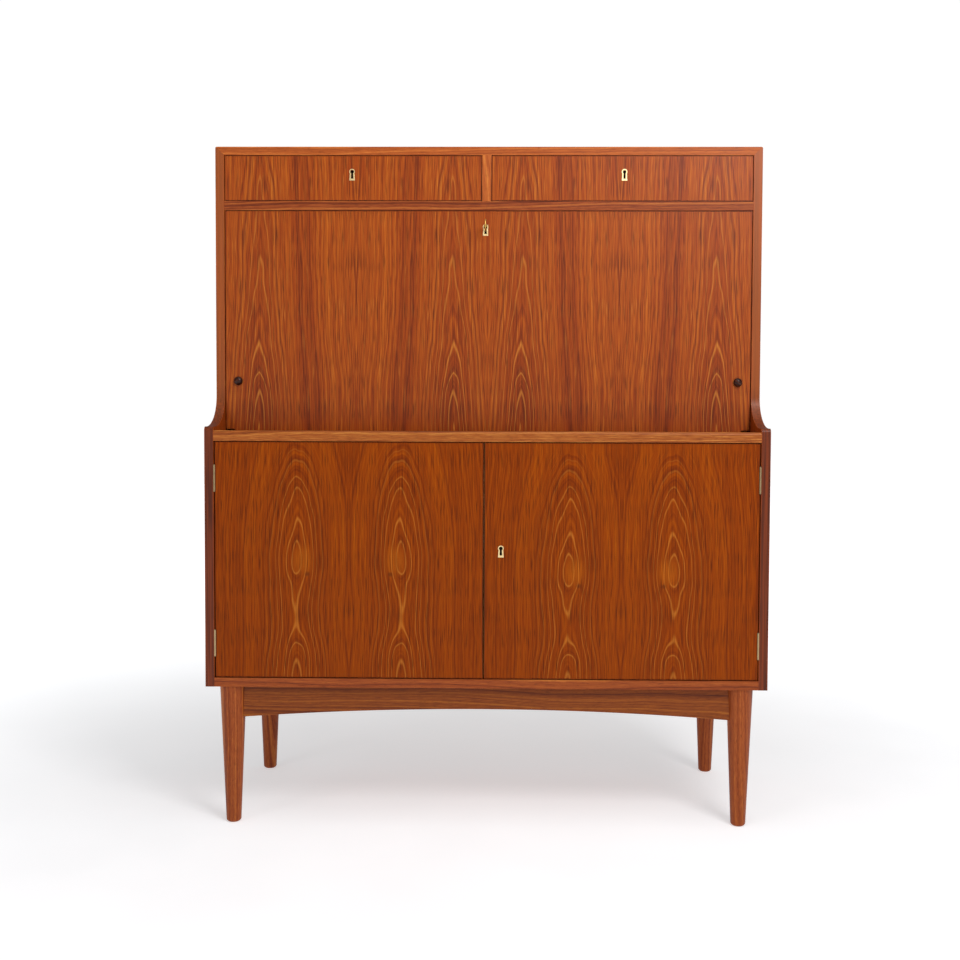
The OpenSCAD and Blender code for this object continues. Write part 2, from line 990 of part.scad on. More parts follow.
module left_door_bolt_guides() {
    color(brass)
        for (z = guides_z)
            difference() {
                board([door_bolt_x - guide[0] / 2, door_bolt_x + guide[0] / 2],
                      [door_back, door_back + guide[1]], [z, z + guide[2]]);
                translate([door_bolt_x, front_y + door_bolt_d, z - past])
                    cylinder(r = door_bolt_r + run_clear, h = guide[2] + 2 * past);
            }
}

module left_door_bolt() {
    color(brass) {
        translate([door_bolt_x, front_y + door_bolt_d, door_bolt_z[0]])
            cylinder(r = door_bolt_r, h = door_bolt_z[1] - door_bolt_z[0]);
        rod_y(door_bolt_x, [door_bolt_d, door_bolt_d + 10], door_bolt_knob_z, door_bolt_neck_r);
        rod_y(door_bolt_x, [door_bolt_d + 8, door_bolt_d + 13], door_bolt_knob_z, door_bolt_knob_r);
    }
}

module right_door_panel() {
    color(teak)
        difference() {
            board([door_gap_x + door_gap / 2, pin_x - hinge_gap], [door_face, door_back], door_z);
            door_hinge_room(1);
            at_door_lock()
                lock_block();
            at_lock(door_lock_x, door_face, door_lock_z)
                keyhole();
        }
}

module right_door_lock() {
    color(steel)
        at_door_lock()
            lock_case(90);
}

module right_door_bolt() {
    color(brass)
        at_door_lock()
            lock_bolt();
}

module right_door_escutcheon() { at_lock(door_lock_x, door_face, door_lock_z) escutcheon(); }

left_side_panel();
right_side_panel();
top_board();
drawer_rail_board();
drawer_divider();
ledge_board();
cabinet_deck();
desk_bed();
bed_bearers();
pigeonhole_shelf();
pigeonhole_dividers();
flap_stop();
bottom_board();
centre_partition();
left_shelf();
right_shelf();
shelf_pins();
back_panel();
carcass_screws();
pivot_bushes();
front_left_leg();
front_right_leg();
back_left_leg();
back_right_leg();
front_apron();
back_apron();
left_side_rail();
right_side_rail();
hinge_case_leaves();
left_drawer_front();
left_drawer_sides();
left_drawer_back();
left_drawer_bottom();
left_drawer_lock();
left_drawer_escutcheon();
left_drawer_bolt();
right_drawer_front();
right_drawer_sides();
right_drawer_back();
right_drawer_bottom();
right_drawer_lock();
right_drawer_escutcheon();
right_drawer_bolt();
flap_panel();
flap_buttons();
flap_pivots();
flap_lock();
flap_escutcheon();
flap_bolt();
flap_key();
left_door_panel();
left_door_hinge_leaves();
left_door_bolt_guides();
left_door_bolt();
right_door_panel();
right_door_hinge_leaves();
right_door_lock();
right_door_escutcheon();
right_door_bolt();
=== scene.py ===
"""Looks of a teak secretary desk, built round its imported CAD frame.

A two-door cabinet stands on four turned legs. Above it and set back lies a drop flap
under two drawers, between side panels that sweep forward to a rounded shoulder.
Lengths are in metres, and a name that ends in _mm holds millimetres.
"""

import json
import logging
import math
from dataclasses import dataclass
from enum import Enum
from typing import Iterable, Sequence

import bmesh
import bpy
from mathutils import Euler, Matrix, Vector

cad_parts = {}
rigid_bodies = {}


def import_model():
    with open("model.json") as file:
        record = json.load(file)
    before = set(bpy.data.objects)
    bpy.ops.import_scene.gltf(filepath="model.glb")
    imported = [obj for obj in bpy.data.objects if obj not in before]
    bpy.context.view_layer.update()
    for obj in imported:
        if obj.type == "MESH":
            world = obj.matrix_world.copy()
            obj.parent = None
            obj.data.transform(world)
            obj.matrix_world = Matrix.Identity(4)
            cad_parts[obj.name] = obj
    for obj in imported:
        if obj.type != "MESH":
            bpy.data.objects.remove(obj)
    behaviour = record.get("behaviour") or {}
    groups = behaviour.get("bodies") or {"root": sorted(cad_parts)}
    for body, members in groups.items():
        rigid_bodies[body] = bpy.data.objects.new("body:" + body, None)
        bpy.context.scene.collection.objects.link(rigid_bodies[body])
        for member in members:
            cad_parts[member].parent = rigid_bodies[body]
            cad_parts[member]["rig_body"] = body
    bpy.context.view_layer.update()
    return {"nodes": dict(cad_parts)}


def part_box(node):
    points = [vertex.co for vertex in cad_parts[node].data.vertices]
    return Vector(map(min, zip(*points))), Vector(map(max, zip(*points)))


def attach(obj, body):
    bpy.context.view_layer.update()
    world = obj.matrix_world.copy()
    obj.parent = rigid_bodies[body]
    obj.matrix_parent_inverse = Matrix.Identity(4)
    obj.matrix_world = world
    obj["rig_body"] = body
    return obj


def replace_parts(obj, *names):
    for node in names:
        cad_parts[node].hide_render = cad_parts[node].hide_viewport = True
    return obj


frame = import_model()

LOG = logging.getLogger("secretary_desk")
MM = 0.001
# An oiled surface has no film on it, so it shines less than lacquer would
OIL_SHINE = 0.2

Stops = Sequence[tuple[float, str]]
Curve = Sequence[tuple[float, float]]
Box = tuple[Vector, Vector]


class Grain(Enum):
    """Which way a board's fibres run: the turn in degrees that brings them upright."""

    ACROSS = (0.0, -90.0, 0.0)
    BACK = (90.0, 0.0, 0.0)
    UP = (0.0, 0.0, 0.0)


class Slot(Enum):
    """The record's material slots."""

    VENEER = "teak_veneer"
    TEAK = "solid_teak"
    BIRCH = "birch"
    PLY = "back_ply"
    ROSEWOOD = "rosewood"
    BRASS = "brass"
    AGED_BRASS = "aged_brass"
    STEEL = "lock_steel"


# ---------------------------------------------------------------- finishes


def linear(colour: str) -> tuple[float, float, float, float]:
    """Turns a colour such as "#a0522d" from sRGB to linear light.

    Args:
        colour: a hash sign and six hex digits.

    Returns:
        Red, green, blue and an alpha of 1.
    """
    parts = (int(colour[i : i + 2], 16) / 255 for i in (1, 3, 5))
    red, green, blue = (
        part / 12.92 if part <= 0.04045 else ((part + 0.055) / 1.055) ** 2.4
        for part in parts
    )
    return red, green, blue, 1.0


class Recipe:
    """The node tree of one finish, from its coordinates to its surface."""

    def __init__(self, name: str) -> None:
        """Starts an empty material of that name."""
        self.material = bpy.data.materials.new(name)
        self.material.use_nodes = True
        self.tree = self.material.node_tree
        self.tree.nodes.clear()

    def add(
        self, kind: str, inputs: dict | None = None, stops: Stops = (), curve: Curve = (),
        **settings: object,
    ) -> bpy.types.Node:
        """Adds a node with its settings and links.

        Args:
            kind: the node's type, without "ShaderNode".
            inputs: a value, a socket or a node for each input's name or number. A node
                stands for its first output in use.
            stops: places and sRGB colours of a colour ramp.
            curve: points of a float curve.
            settings: the node's own properties.

        Returns:
            The new node.
        """
        node = self.tree.nodes.new("ShaderNode" + kind)
        for name, value in settings.items():
            setattr(node, name, value)
        for key, value in (inputs or {}).items():
            if isinstance(value, bpy.types.Node):
                value = next(o for o in value.outputs if o.enabled)
            if isinstance(value, bpy.types.NodeSocket):
                self.tree.links.new(value, node.inputs[key])
            else:
                node.inputs[key].default_value = value
        for index, (place, colour) in enumerate(stops):
            ramp = node.color_ramp.elements
            stop = ramp[index] if index < 2 else ramp.new(place)
            stop.position = place
            stop.color = linear(colour)
        for index, (x, y) in enumerate(curve):
            points = node.mapping.curves[0].points
            point = points[index] if index < 2 else points.new(x, y)
            point.location = (x, y)
        if curve:
            node.mapping.update()
        return node

    def object_mm(self) -> bpy.types.Node:
        """Gives the piece's own coordinates in millimetres."""
        place = self.add("TexCoord").outputs["Object"]
        return self.add("VectorMath", {0: place, "Scale": 1 / MM}, operation="SCALE")

    def grained(
        self, mm: bpy.types.Node, across_mm: float, along_mm: float, **settings: float
    ) -> bpy.types.Node:
        """Adds a noise drawn out along Z, as fibres, pores and slow drifts in wood are.

        Args:
            mm: coordinates in millimetres with the grain along Z.
            across_mm: size of a blotch across the grain.
            along_mm: its size along the grain.
            settings: more of the noise's inputs, such as Detail.

        Returns:
            The noise node.
        """
        shape = (1 / across_mm, 1 / across_mm, 1 / along_mm)
        drawn = self.add("VectorMath", {0: mm, 1: shape}, operation="MULTIPLY")
        return self.add("TexNoise", {"Vector": drawn, "Scale": 1.0, **settings})

    def satin(
        self, colour: bpy.types.Node, fibres: bpy.types.Node, pores: bpy.types.Node,
        sheen: tuple[float, float], shine: float, strength: float, relief_mm: float,
    ) -> bpy.types.Material:
        """Ends a wood's recipe with its rubbed surface, raised fibres and sunken pores.

        Args:
            colour: the wood's colour.
            fibres: how high the fibres stand.
            pores: how deep the pores are.
            sheen: roughness in the valleys and on the fibres.
            shine: how strongly the surface reflects.
            strength: of the relief, from 0 to 1.
            relief_mm: its depth.

        Returns:
            The finished material.
        """
        low, high = sheen
        reach = {"Value": fibres, "From Min": 0.3, "From Max": 0.7, "To Min": low, "To Max": high}
        roughness = self.add("MapRange", reach)
        relief = self.add("Math", {0: fibres, 1: pores}, operation="SUBTRACT")
        bump = self.add("Bump", {"Height": relief, "Strength": strength, "Distance": relief_mm * MM})
        look = {"Base Color": colour, "Roughness": roughness, "Specular IOR Level": shine}
        surface = self.add("BsdfPrincipled", {**look, "Normal": bump})
        self.add("OutputMaterial", {"Surface": surface})
        return self.material


@dataclass(frozen=True)
class Finish:
    """What every finish has: a name, and a material that is made once."""

    name: str

    def make(self) -> bpy.types.Material:
        """Gives the finish's material, which is built on the first call."""
        made = bpy.data.materials.get(self.name)
        return made if made else self.build(Recipe(self.name))

    def build(self, recipe: Recipe) -> bpy.types.Material:
        """Builds the material's nodes."""
        raise NotImplementedError


@dataclass(frozen=True)
class SolidTimber(Finish):
    """Planed timber, sanded and oiled or lacquered to a satin.

    The growth rings are shells round a heart that lies beside the board and leans a
    little against it, so flat faces show long arches, edges show straight lines and
    ends show short arcs. Short dark dashes are the open pores.

    Attributes:
        grain: which way the fibres run.
        colours: from the late wood of a ring to its early wood.
        heart_mm: how far off the heart lies, across the grain.
        lean: how the heart leans against the board, in degrees.
        ring_mm: width of a growth ring.
        fibre: how strongly the fibres show, from 0 to 1.
        pore: colour of the pores.
        roughness: of the surface.
    """

    grain: Grain
    colours: Stops
    heart_mm: tuple[float, float] = (140.0, 90.0)
    lean: tuple[float, float] = (2.2, 1.1)
    ring_mm: float = 7.0
    fibre: float = 0.5
    pore: str = "#3a1608"
    roughness: float = 0.42

    def build(self, recipe: Recipe) -> bpy.types.Material:
        """Builds the rings, the fibres, the pores and the satin surface."""
        add = recipe.add
        lean = Euler([math.radians(a) for a in (*self.lean, 0.0)]).to_matrix()
        upright = Euler([math.radians(a) for a in self.grain.value]).to_matrix()
        turn = tuple((lean @ upright).to_euler())
        mm = recipe.object_mm()
        wood = add("Mapping", {"Vector": mm, "Rotation": turn, "Location": (*self.heart_mm, 0.0)})
        drift = recipe.grained(wood, 85.0, 420.0, Detail=2.0).outputs["Color"]
        moved = add("VectorMath", {0: drift, 1: (26.0, 26.0, 0.0), 2: wood}, operation="MULTIPLY_ADD")
        level = add("VectorMath", {0: moved, 1: (1.0, 1.0, 0.0)}, operation="MULTIPLY")
        radius = add("VectorMath", {0: level}, operation="LENGTH")
        rings = add(
            "TexNoise", {"W": radius, "Scale": 1 / self.ring_mm, "Detail": 3.0, "Roughness": 0.6},
            noise_dimensions="1D",
        )
        # Fibres are under a tenth of a millimetre wide; these are ten times that, to show
        fibres = recipe.grained(wood, 1.3, 46.0, Detail=2.0, Roughness=0.6)
        tone = add("Math", {0: fibres, 1: -0.5}, operation="ADD")
        tone = add("Math", {0: tone, 1: self.fibre, 2: rings}, operation="MULTIPLY_ADD")
        colour = add("ValToRGB", {0: tone}, stops=self.colours)
        pores = recipe.grained(wood, 0.9, 11.0, Detail=1.0)
        dashes = add("MapRange", {"Value": pores, "From Min": 0.60, "From Max": 0.72})
        share = add("Math", {0: dashes, 1: 0.42}, operation="MULTIPLY")
        colour = add("Mix", {0: share, 6: colour, 7: linear(self.pore)}, data_type="RGBA")
        sheen = (self.roughness - 0.05, self.roughness + 0.07)
        return recipe.satin(colour, fibres, dashes, sheen, OIL_SHINE, strength=0.25, relief_mm=0.12)


@dataclass(frozen=True)
class Veneer(Finish):
    """Sliced teak veneer, laid as book-matched leaves and oiled to a satin.

    A leaf is cut through the log's rings, so its arches are the lines of equal distance
    from the heart, and that distance grows or shrinks up the leaf. Each second leaf is
    turned over like a page. A solid lipping closes the panel's edges.

    Attributes:
        panel: the CAD node that is veneered.
        seam_mm: place of a seam between two leaves, across the panel.
        leaf_mm: width of a leaf.
        figure_mm: distance of the figure's middle from that seam.
        foot_mm: height at which the heart curve starts.
        head_mm: height at which it ends.
        heart: depth of the heart behind the leaf, in decimetres, from foot to head.
        zones: how light the wood is at each distance from the heart, over two decimetres.
        colours: from the wood's darkest tone to its lightest.
        roundness: 2 for round arches, and towards 1 for pointed ones.
        streaks: strength of the rings' own streaks.
        late: strength of the dark lines of late wood.
        arches: strength of the pale lines along the arches.
        arch_fade_mm: distances from the heart between which those lines fade.
        flecks: strength of the golden flecks.
        shine: how strongly the oiled surface reflects.
        knot_mm: height of the small knot in each leaf, or None.
    """

    panel: str
    seam_mm: float
    leaf_mm: float
    figure_mm: float
    foot_mm: float
    head_mm: float
    heart: Curve
    zones: Curve
    colours: Stops
    roundness: float = 2.0
    streaks: float = 0.4
    late: float = 0.25
    arches: float = 0.5
    arch_fade_mm: tuple[float, float] = (34.0, 74.0)
    flecks: float = 0.0
    knot_mm: float | None = None
    shine: float = 0.25

    LIPPING = "#8a3a0c"
    PALE = "#cc7f2e"
    LATE = "#52200c"
    PORE = "#3f1605"
    LIP_MM = 1.3

    def width(self, axes: bpy.types.Node) -> bpy.types.NodeSocket:
        """Gives the coordinate that runs across the leaves."""
        return axes.outputs["X"]

    def edging(self, recipe: Recipe) -> bpy.types.Node:
        """Gives 1 on the lipping, and 0 on the veneer."""
        add = recipe.add
        gaps = add("SeparateXYZ", {0: self.depth_in_panel(recipe)})
        nearest = add("Math", {0: gaps.outputs["X"], 1: gaps.outputs["Z"]}, operation="MINIMUM")
        return add("Math", {0: nearest, 1: self.LIP_MM * MM}, operation="LESS_THAN")

    def painted_top_light(self, recipe: Recipe, mm: bpy.types.Node, colour: bpy.types.Node) -> bpy.types.Node:
        """Adds painted light from above to the lipping: none here."""
        return colour

    def depth_in_panel(self, recipe: Recipe) -> bpy.types.Node:
        """Gives how far a point lies inside the panel's box, along each axis."""
        add = recipe.add
        low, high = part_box(self.panel)
        place = add("TexCoord").outputs["Object"]
        off = add("VectorMath", {0: place, 1: (low + high) / 2}, operation="SUBTRACT")
        off = add("VectorMath", {0: off}, operation="ABSOLUTE")
        return add("VectorMath", {0: (high - low) / 2, 1: off}, operation="SUBTRACT")

    def page(self, recipe: Recipe) -> bpy.types.Node:
        """Gives a leaf's own coordinates in millimetres, with every other leaf turned over."""
        add = recipe.add
        axes = add("SeparateXYZ", {0: recipe.object_mm()})
        across = add("Math", {0: self.width(axes), 1: self.seam_mm}, operation="SUBTRACT")
        across = add("Math", {0: across, 1: self.leaf_mm}, operation="PINGPONG")
        return add("CombineXYZ", {"X": across, "Z": axes.outputs["Z"]})

    def ring(self, recipe: Recipe, page: bpy.types.Node) -> tuple[bpy.types.Node, bpy.types.Node]:
        """Works out how far from the heart each point of the leaf was.

        Args:
            recipe: the tree that the nodes join.
            page: the leaf's coordinates in millimetres.

        Returns:
            The distance from the heart, and the distance beside the figure's middle.
        """
        add = recipe.add
        axes = add("SeparateXYZ", {0: page})
        slow = recipe.grained(page, 120.0, 260.0, Detail=1.0)
        quick = recipe.grained(page, 26.0, 100.0, Detail=1.0)
        side = add("Math", {0: axes.outputs["X"], 1: self.figure_mm}, operation="SUBTRACT")
        wander = add("Math", {0: slow, 1: 24.0, 2: -12.0}, operation="MULTIPLY_ADD")
        side = add("Math", {0: side, 1: wander}, operation="ADD")
        rise = add(
            "MapRange",
            {"Value": axes.outputs["Z"], "From Min": self.foot_mm, "From Max": self.head_mm},
        )
        heart = add("FloatCurve", {"Value": rise}, curve=self.heart)
        ripple = add("Math", {0: quick, 1: 5.0, 2: -2.5}, operation="MULTIPLY_ADD")
        depth = add("Math", {0: heart, 1: 100.0, 2: ripple}, operation="MULTIPLY_ADD")
        reach = self.reach(recipe, side, depth)
        return add("Math", {0: reach, 1: ripple}, operation="ADD"), side

    def reach(self, recipe: Recipe, side: bpy.types.Node, depth: bpy.types.Node) -> bpy.types.Node:
        """Adds two distances as the sides of a right angle, or less roundly than that.

        Args:
            recipe: the tree that the nodes join.
            side: the distance beside the figure's middle.
            depth: the depth of the heart.

        Returns:
            The distance from the heart.
        """
        parts = []
        for part in (side, depth):
            size = recipe.add("Math", {0: part}, operation="ABSOLUTE")
            parts.append(recipe.add("Math", {0: size, 1: self.roundness}, operation="POWER"))
        both = recipe.add("Math", {0: parts[0], 1: parts[1]}, operation="ADD")
        return recipe.add("Math", {0: both, 1: 1 / self.roundness}, operation="POWER")

    def build(self, recipe: Recipe) -> bpy.types.Material:
        """Builds the figure, its streaks and lines, the lipping and the satin surface."""
        add = recipe.add
        mm = self.page(recipe)
        ring, side = self.ring(recipe, mm)
        zone = add("Math", {0: ring, 1: 200.0}, operation="DIVIDE")
        tone = add("FloatCurve", {"Value": zone}, curve=self.zones)
        # Bands of growth rings, and the single rings within them
        for ring_mm, detail, share in ((19.0, 1.0, 0.14), (3.8, 2.0, self.streaks)):
            streak = add(
                "TexNoise", {"W": ring, "Scale": 1 / ring_mm, "Detail": detail, "Roughness": 0.65},
                noise_dimensions="1D",
            )
            streak = add("Math", {0: streak, 1: -0.5}, operation="ADD")
            tone = add("Math", {0: streak, 1: share, 2: tone}, operation="MULTIPLY_ADD")
        # Fibres are finer than this on real teak, and would vanish at arm's length
        fibres = recipe.grained(mm, 1.9, 150.0, Detail=3.0, Roughness=0.7)
        grain = add("Math", {0: fibres, 1: -0.5}, operation="ADD")
        tone = add("Math", {0: grain, 1: 0.85, 2: tone}, operation="MULTIPLY_ADD")
        colour = add("ValToRGB", {0: tone}, stops=self.colours)
        # Late wood closes each year's ring with a thin dark line
        years = add("TexNoise", {"W": ring, "Scale": 1 / 7.3, "Detail": 1.0}, noise_dimensions="1D")
        late = add(
            "MapRange", {"Value": years, "From Min": 0.56, "From Max": 0.72, "To Max": self.late},
        )
        colour = add("Mix", {0: late, 6: colour, 7: linear(self.LATE)}, data_type="RGBA")

        colour = self.arch_lines(recipe, ring, colour)
        if self.flecks:
            spots = recipe.grained(mm, 2.4, 60.0, Detail=1.0)
            share = add(
                "MapRange", {"Value": spots, "From Min": 0.62, "From Max": 0.76, "To Max": self.flecks},
            )
            colour = add("Mix", {0: share, 6: colour, 7: linear(self.PALE)}, data_type="RGBA")
        if self.knot_mm is not None:
            colour = self.knot(recipe, mm, side, colour)

        pores = recipe.grained(mm, 1.5, 48.0, Detail=1.0)
        dashes = add("MapRange", {"Value": pores, "From Min": 0.53, "From Max": 0.68})
        share = add("Math", {0: dashes, 1: 0.62}, operation="MULTIPLY")
        colour = add("Mix", {0: share, 6: colour, 7: linear(self.PORE)}, data_type="RGBA")

        strands = recipe.grained(recipe.object_mm(), 3.2, 180.0, Detail=2.0)
        lip_tone = add("MapRange", {"Value": strands, "From Min": 0.3, "From Max": 0.68})
        lipping = add(
            "Mix", {0: lip_tone, 6: linear(self.PORE), 7: linear(self.LIPPING)}, data_type="RGBA",
        )
        # Painted light from above, which only the side panels' lipping gets
        lipping = self.painted_top_light(recipe, mm, lipping)
        edge = self.edging(recipe)
        colour = add("Mix", {0: edge, 6: colour, 7: lipping}, data_type="RGBA")
        sheen = (0.36, 0.46)
        return recipe.satin(colour, fibres, dashes, sheen, self.shine, strength=0.2, relief_mm=0.1)

    def arch_lines(
        self, recipe: Recipe, ring: bpy.types.Node, colour: bpy.types.Node
    ) -> bpy.types.Node:
        """Draws a thin pale line along every ring, which fades towards straight grain."""
        add = recipe.add
        drift = add("TexNoise", {"W": ring, "Scale": 1 / 16.0, "Detail": 0.0}, noise_dimensions="1D")
        phase = add("Math", {0: ring, 1: 1 / 8.0, 2: drift}, operation="MULTIPLY_ADD")
        off = add("Math", {0: phase, 1: 0.5}, operation="PINGPONG")
        line = add(
            "MapRange",
            {"Value": off, "From Min": 0.02, "From Max": 0.11, "To Min": 1.0, "To Max": 0.0},
        )
        fade = add(
            "MapRange",
            {
                "Value": ring,
                "From Min": self.arch_fade_mm[0],
                "From Max": self.arch_fade_mm[1],
                "To Min": self.arches,
                "To Max": 0.0,
            },
        )
        share = add("Math", {0: line, 1: fade}, operation="MULTIPLY")
        return add("Mix", {0: share, 6: colour, 7: linear(self.PALE)}, data_type="RGBA")

    def knot(
        self, recipe: Recipe, mm: bpy.types.Node, side: bpy.types.Node, colour: bpy.types.Node,
    ) -> bpy.types.Node:
        """Draws a small knot: an orange swirl with a dark eye low on one side."""
        add = recipe.add
        up = add("SeparateXYZ", {0: mm}).outputs["Z"]
        for right_mm, low_mm, wide_mm, tall_mm, share, tint in (
            (-12.0, 0.0, 22.0, 36.0, 0.34, "#c0660f"), (-20.0, 26.0, 6.0, 6.0, 0.5, "#3c1a0c"),
        ):
            x = add("Math", {0: side, 1: right_mm}, operation="SUBTRACT")
            x = add("Math", {0: x, 1: wide_mm}, operation="DIVIDE")
            z = add("Math", {0: up, 1: self.knot_mm - low_mm}, operation="SUBTRACT")
            z = add("Math", {0: z, 1: tall_mm}, operation="DIVIDE")
            reach = add("VectorMath", {0: add("CombineXYZ", {"X": x, "Y": z})}, operation="LENGTH")
            glow = add(
                "MapRange",
                {"Value": reach, "From Min": 0.2, "From Max": 1.1, "To Min": share, "To Max": 0.0},
                interpolation_type="SMOOTHSTEP",
            )
            colour = add("Mix", {0: glow, 6: colour, 7: linear(tint)}, data_type="RGBA")
        return colour


@dataclass(frozen=True)
class SideVeneer(Veneer):
    """The same veneer on the two faces of a side panel, with solid teak between them."""

    LIPPING = "#7c3310"
    # Colour of the painted light on the edge above the shoulder
    TOP_LIGHT_TINT = "#b9622a"
    SHEET_MM = 0.7

    def painted_top_light(self, recipe: Recipe, mm: bpy.types.Node, colour: bpy.types.Node) -> bpy.types.Node:
        """Lightens the edge above the shoulder with painted light from above."""
        up = recipe.add("SeparateXYZ", {0: mm}).outputs["Z"]
        # Painted light: the edge grows paler towards the top, where more light falls
        sun = recipe.add(
            "MapRange", {"Value": up, "From Min": 750.0, "From Max": 840.0, "To Max": 0.42}
        )
        return recipe.add("Mix", {0: sun, 6: colour, 7: linear(self.TOP_LIGHT_TINT)}, data_type="RGBA")

    def width(self, axes: bpy.types.Node) -> bpy.types.NodeSocket:
        """Gives the coordinate that runs from the panel's front to its back."""
        return axes.outputs["Y"]

    def edging(self, recipe: Recipe) -> bpy.types.Node:
        """Gives 1 between the two sheets of veneer."""
        gaps = recipe.add("SeparateXYZ", {0: self.depth_in_panel(recipe)})
        return recipe.add(
            "Math", {0: gaps.outputs["X"], 1: self.SHEET_MM * MM}, operation="GREATER_THAN"
        )


@dataclass(frozen=True)
class Metal(Finish):
    """Bare metal, drawn or filed and then handled for years.

    Attributes:
        bright: colour where fingers keep it clean.
        dull: colour of the tarnish.
        tarnish: how much of the metal is dull, from 0 to 1.
        roughness: of the clean metal.
        blotch_mm: size of a patch of tarnish.
    """

    bright: str
    dull: str
    tarnish: float
    roughness: float
    blotch_mm: float = 3.0

    def build(self, recipe: Recipe) -> bpy.types.Material:
        """Builds the tarnish, the fine scratches and the metal."""
        add = recipe.add
        mm = recipe.object_mm()
        cloud = recipe.grained(mm, self.blotch_mm, self.blotch_mm, Detail=4.0, Roughness=0.6)
        share = add(
            "MapRange", {"Value": cloud, "From Min": 0.72 - 0.5 * self.tarnish, "From Max": 0.8},
        )
        colour = add("Mix", {0: share, 6: linear(self.bright), 7: linear(self.dull)}, data_type="RGBA")
        scratches = recipe.grained(mm, 0.25, 4.0, Detail=2.0)
        sheen = add("Math", {0: share, 1: 0.25, 2: self.roughness}, operation="MULTIPLY_ADD")
        bump = add("Bump", {"Height": scratches, "Strength": 0.15, "Distance": 0.02 * MM})
        surface = add(
            "BsdfPrincipled",
            {"Base Color": colour, "Metallic": 1.0, "Roughness": sheen, "Normal": bump},
        )
        add("OutputMaterial", {"Surface": surface})
        return recipe.material


@dataclass(frozen=True)
class GlowingFloor(Finish):
    """A pale studio floor that glows by itself as painted light, so shadows on it stay light."""

    def build(self, recipe: Recipe) -> bpy.types.Material:
        """Builds the faint clouding of the sheet, its satin face and its painted glow."""
        add = recipe.add
        cloud = recipe.grained(recipe.object_mm(), 240.0, 240.0, Detail=2.0)
        colour = add("ValToRGB", {0: cloud}, stops=((0.3, "#d6d5d6"), (0.7, "#dcdbdc")))
        # The painted glow grows from the middle towards the rim, so the floor is brighter there
        place = add("TexCoord").outputs["Object"]
        reach = add("VectorMath", {0: place}, operation="LENGTH")
        light = add(
            "MapRange",
            {"Value": reach, "From Min": 0.6, "From Max": 2.6, "To Min": 0.51, "To Max": 1.0},
            interpolation_type="SMOOTHSTEP",
        )
        # Painted glow: the floor gives light though it is no lamp
        surface = add(
            "BsdfPrincipled",
            {
                "Base Color": colour,
                "Roughness": 0.8,
                "Specular IOR Level": 0.2,
                "Emission Color": linear("#fbfdff"),
                "Emission Strength": light,
            },
        )
        add("OutputMaterial", {"Surface": surface})
        return recipe.material


TEAK_RED = ((0.22, "#66290f"), (0.42, "#8a3d14"), (0.58, "#a2501e"), (0.80, "#be702d"))
TEAK_GOLD = ((0.22, "#6f3210"), (0.42, "#914817"), (0.58, "#a65b22"), (0.80, "#bf7c36"))
TEAK_DARK = ((0.22, "#52200e"), (0.42, "#7a3312"), (0.58, "#95481c"), (0.80, "#b0652a"))
TEAK_PALE = ((0.22, "#7c3816"), (0.42, "#9c4a1a"), (0.58, "#b25c24"), (0.80, "#c97b33"))
TEAK_BROWN = ((0.22, "#56220b"), (0.42, "#76350d"), (0.58, "#8d4713"), (0.80, "#a6601e"))
BIRCH_TONES = ((0.25, "#bb8850"), (0.45, "#cfa068"), (0.60, "#dbb07c"), (0.80, "#e7c294"))
GABOON_TONES = ((0.25, "#9a5d3c"), (0.45, "#b0704a"), (0.60, "#bf8058"), (0.80, "#cf946c"))
ROSEWOOD_TONES = ((0.25, "#170a08"), (0.45, "#2a120d"), (0.60, "#3d1c14"), (0.80, "#54291c"))

# Warm red-brown boards with long straight lines, for the bottom and what the flap hides
TEAK_ACROSS = SolidTimber("oiled_teak_across", Grain.ACROSS, TEAK_RED)
# A paler, sun-worn board with wide calm rings, over the whole width
TEAK_TOP = SolidTimber("oiled_teak_top", Grain.ACROSS, TEAK_PALE, ring_mm=8.0)
# Pale upright strips with slightly curved rings, between the drawers and the papers
TEAK_UP = SolidTimber("oiled_teak_upright", Grain.UP, TEAK_PALE, heart_mm=(60.0, 45.0))
# Red-brown rails that run away from the eye, under the cabinet
TEAK_BACK = SolidTimber("oiled_teak_front_to_back", Grain.BACK, TEAK_RED)
# A golden band with lively fibres, where hands and sleeves have rubbed it
TEAK_LEDGE = SolidTimber("oiled_teak_ledge", Grain.ACROSS, TEAK_GOLD, ring_mm=5.0, fibre=0.8)
# A dark, close-ringed line between the drawers and the flap
TEAK_RAIL = SolidTimber("oiled_teak_drawer_rail", Grain.ACROSS, TEAK_DARK, ring_mm=5.0)
# Quiet brown aprons that recede under the cabinet
TEAK_BASE = SolidTimber("oiled_teak_apron", Grain.ACROSS, TEAK_BROWN, ring_mm=6.0)
# Legs turned near the log's heart, so their rings bow round the taper
TEAK_LEG = SolidTimber("oiled_teak_leg", Grain.UP, TEAK_RED, heart_mm=(18.0, 30.0), ring_mm=5.0)
# Honey-yellow lacquered birch, light and almost plain beside the teak
BIRCH_LOOK = {"colours": BIRCH_TONES, "fibre": 0.35, "pore": "#8a633a", "roughness": 0.38}
BIRCH_ACROSS = SolidTimber("lacquered_birch_across", Grain.ACROSS, **BIRCH_LOOK)
BIRCH_BACK = SolidTimber("lacquered_birch_front_to_back", Grain.BACK, **BIRCH_LOOK)
BIRCH_UP = SolidTimber("lacquered_birch_upright", Grain.UP, **BIRCH_LOOK)
# A dull pinkish sheet with broad soft rings, left bare at the back
GABOON_PLY = SolidTimber(
    "gaboon_plywood", Grain.UP, GABOON_TONES, ring_mm=16.0, fibre=0.6, pore="#6b4528", roughness=0.62,
)
# Nearly black domes with a faint red glint
ROSEWOOD = SolidTimber(
    "turned_rosewood", Grain.BACK, ROSEWOOD_TONES, ring_mm=3.0, pore="#0e0504", roughness=0.3
)
# Clear yellow metal with a soft gleam, which picks out the keyholes
BRASS = Metal("polished_brass", "#fce0a6", "#dcb978", tarnish=0.3, roughness=0.42)
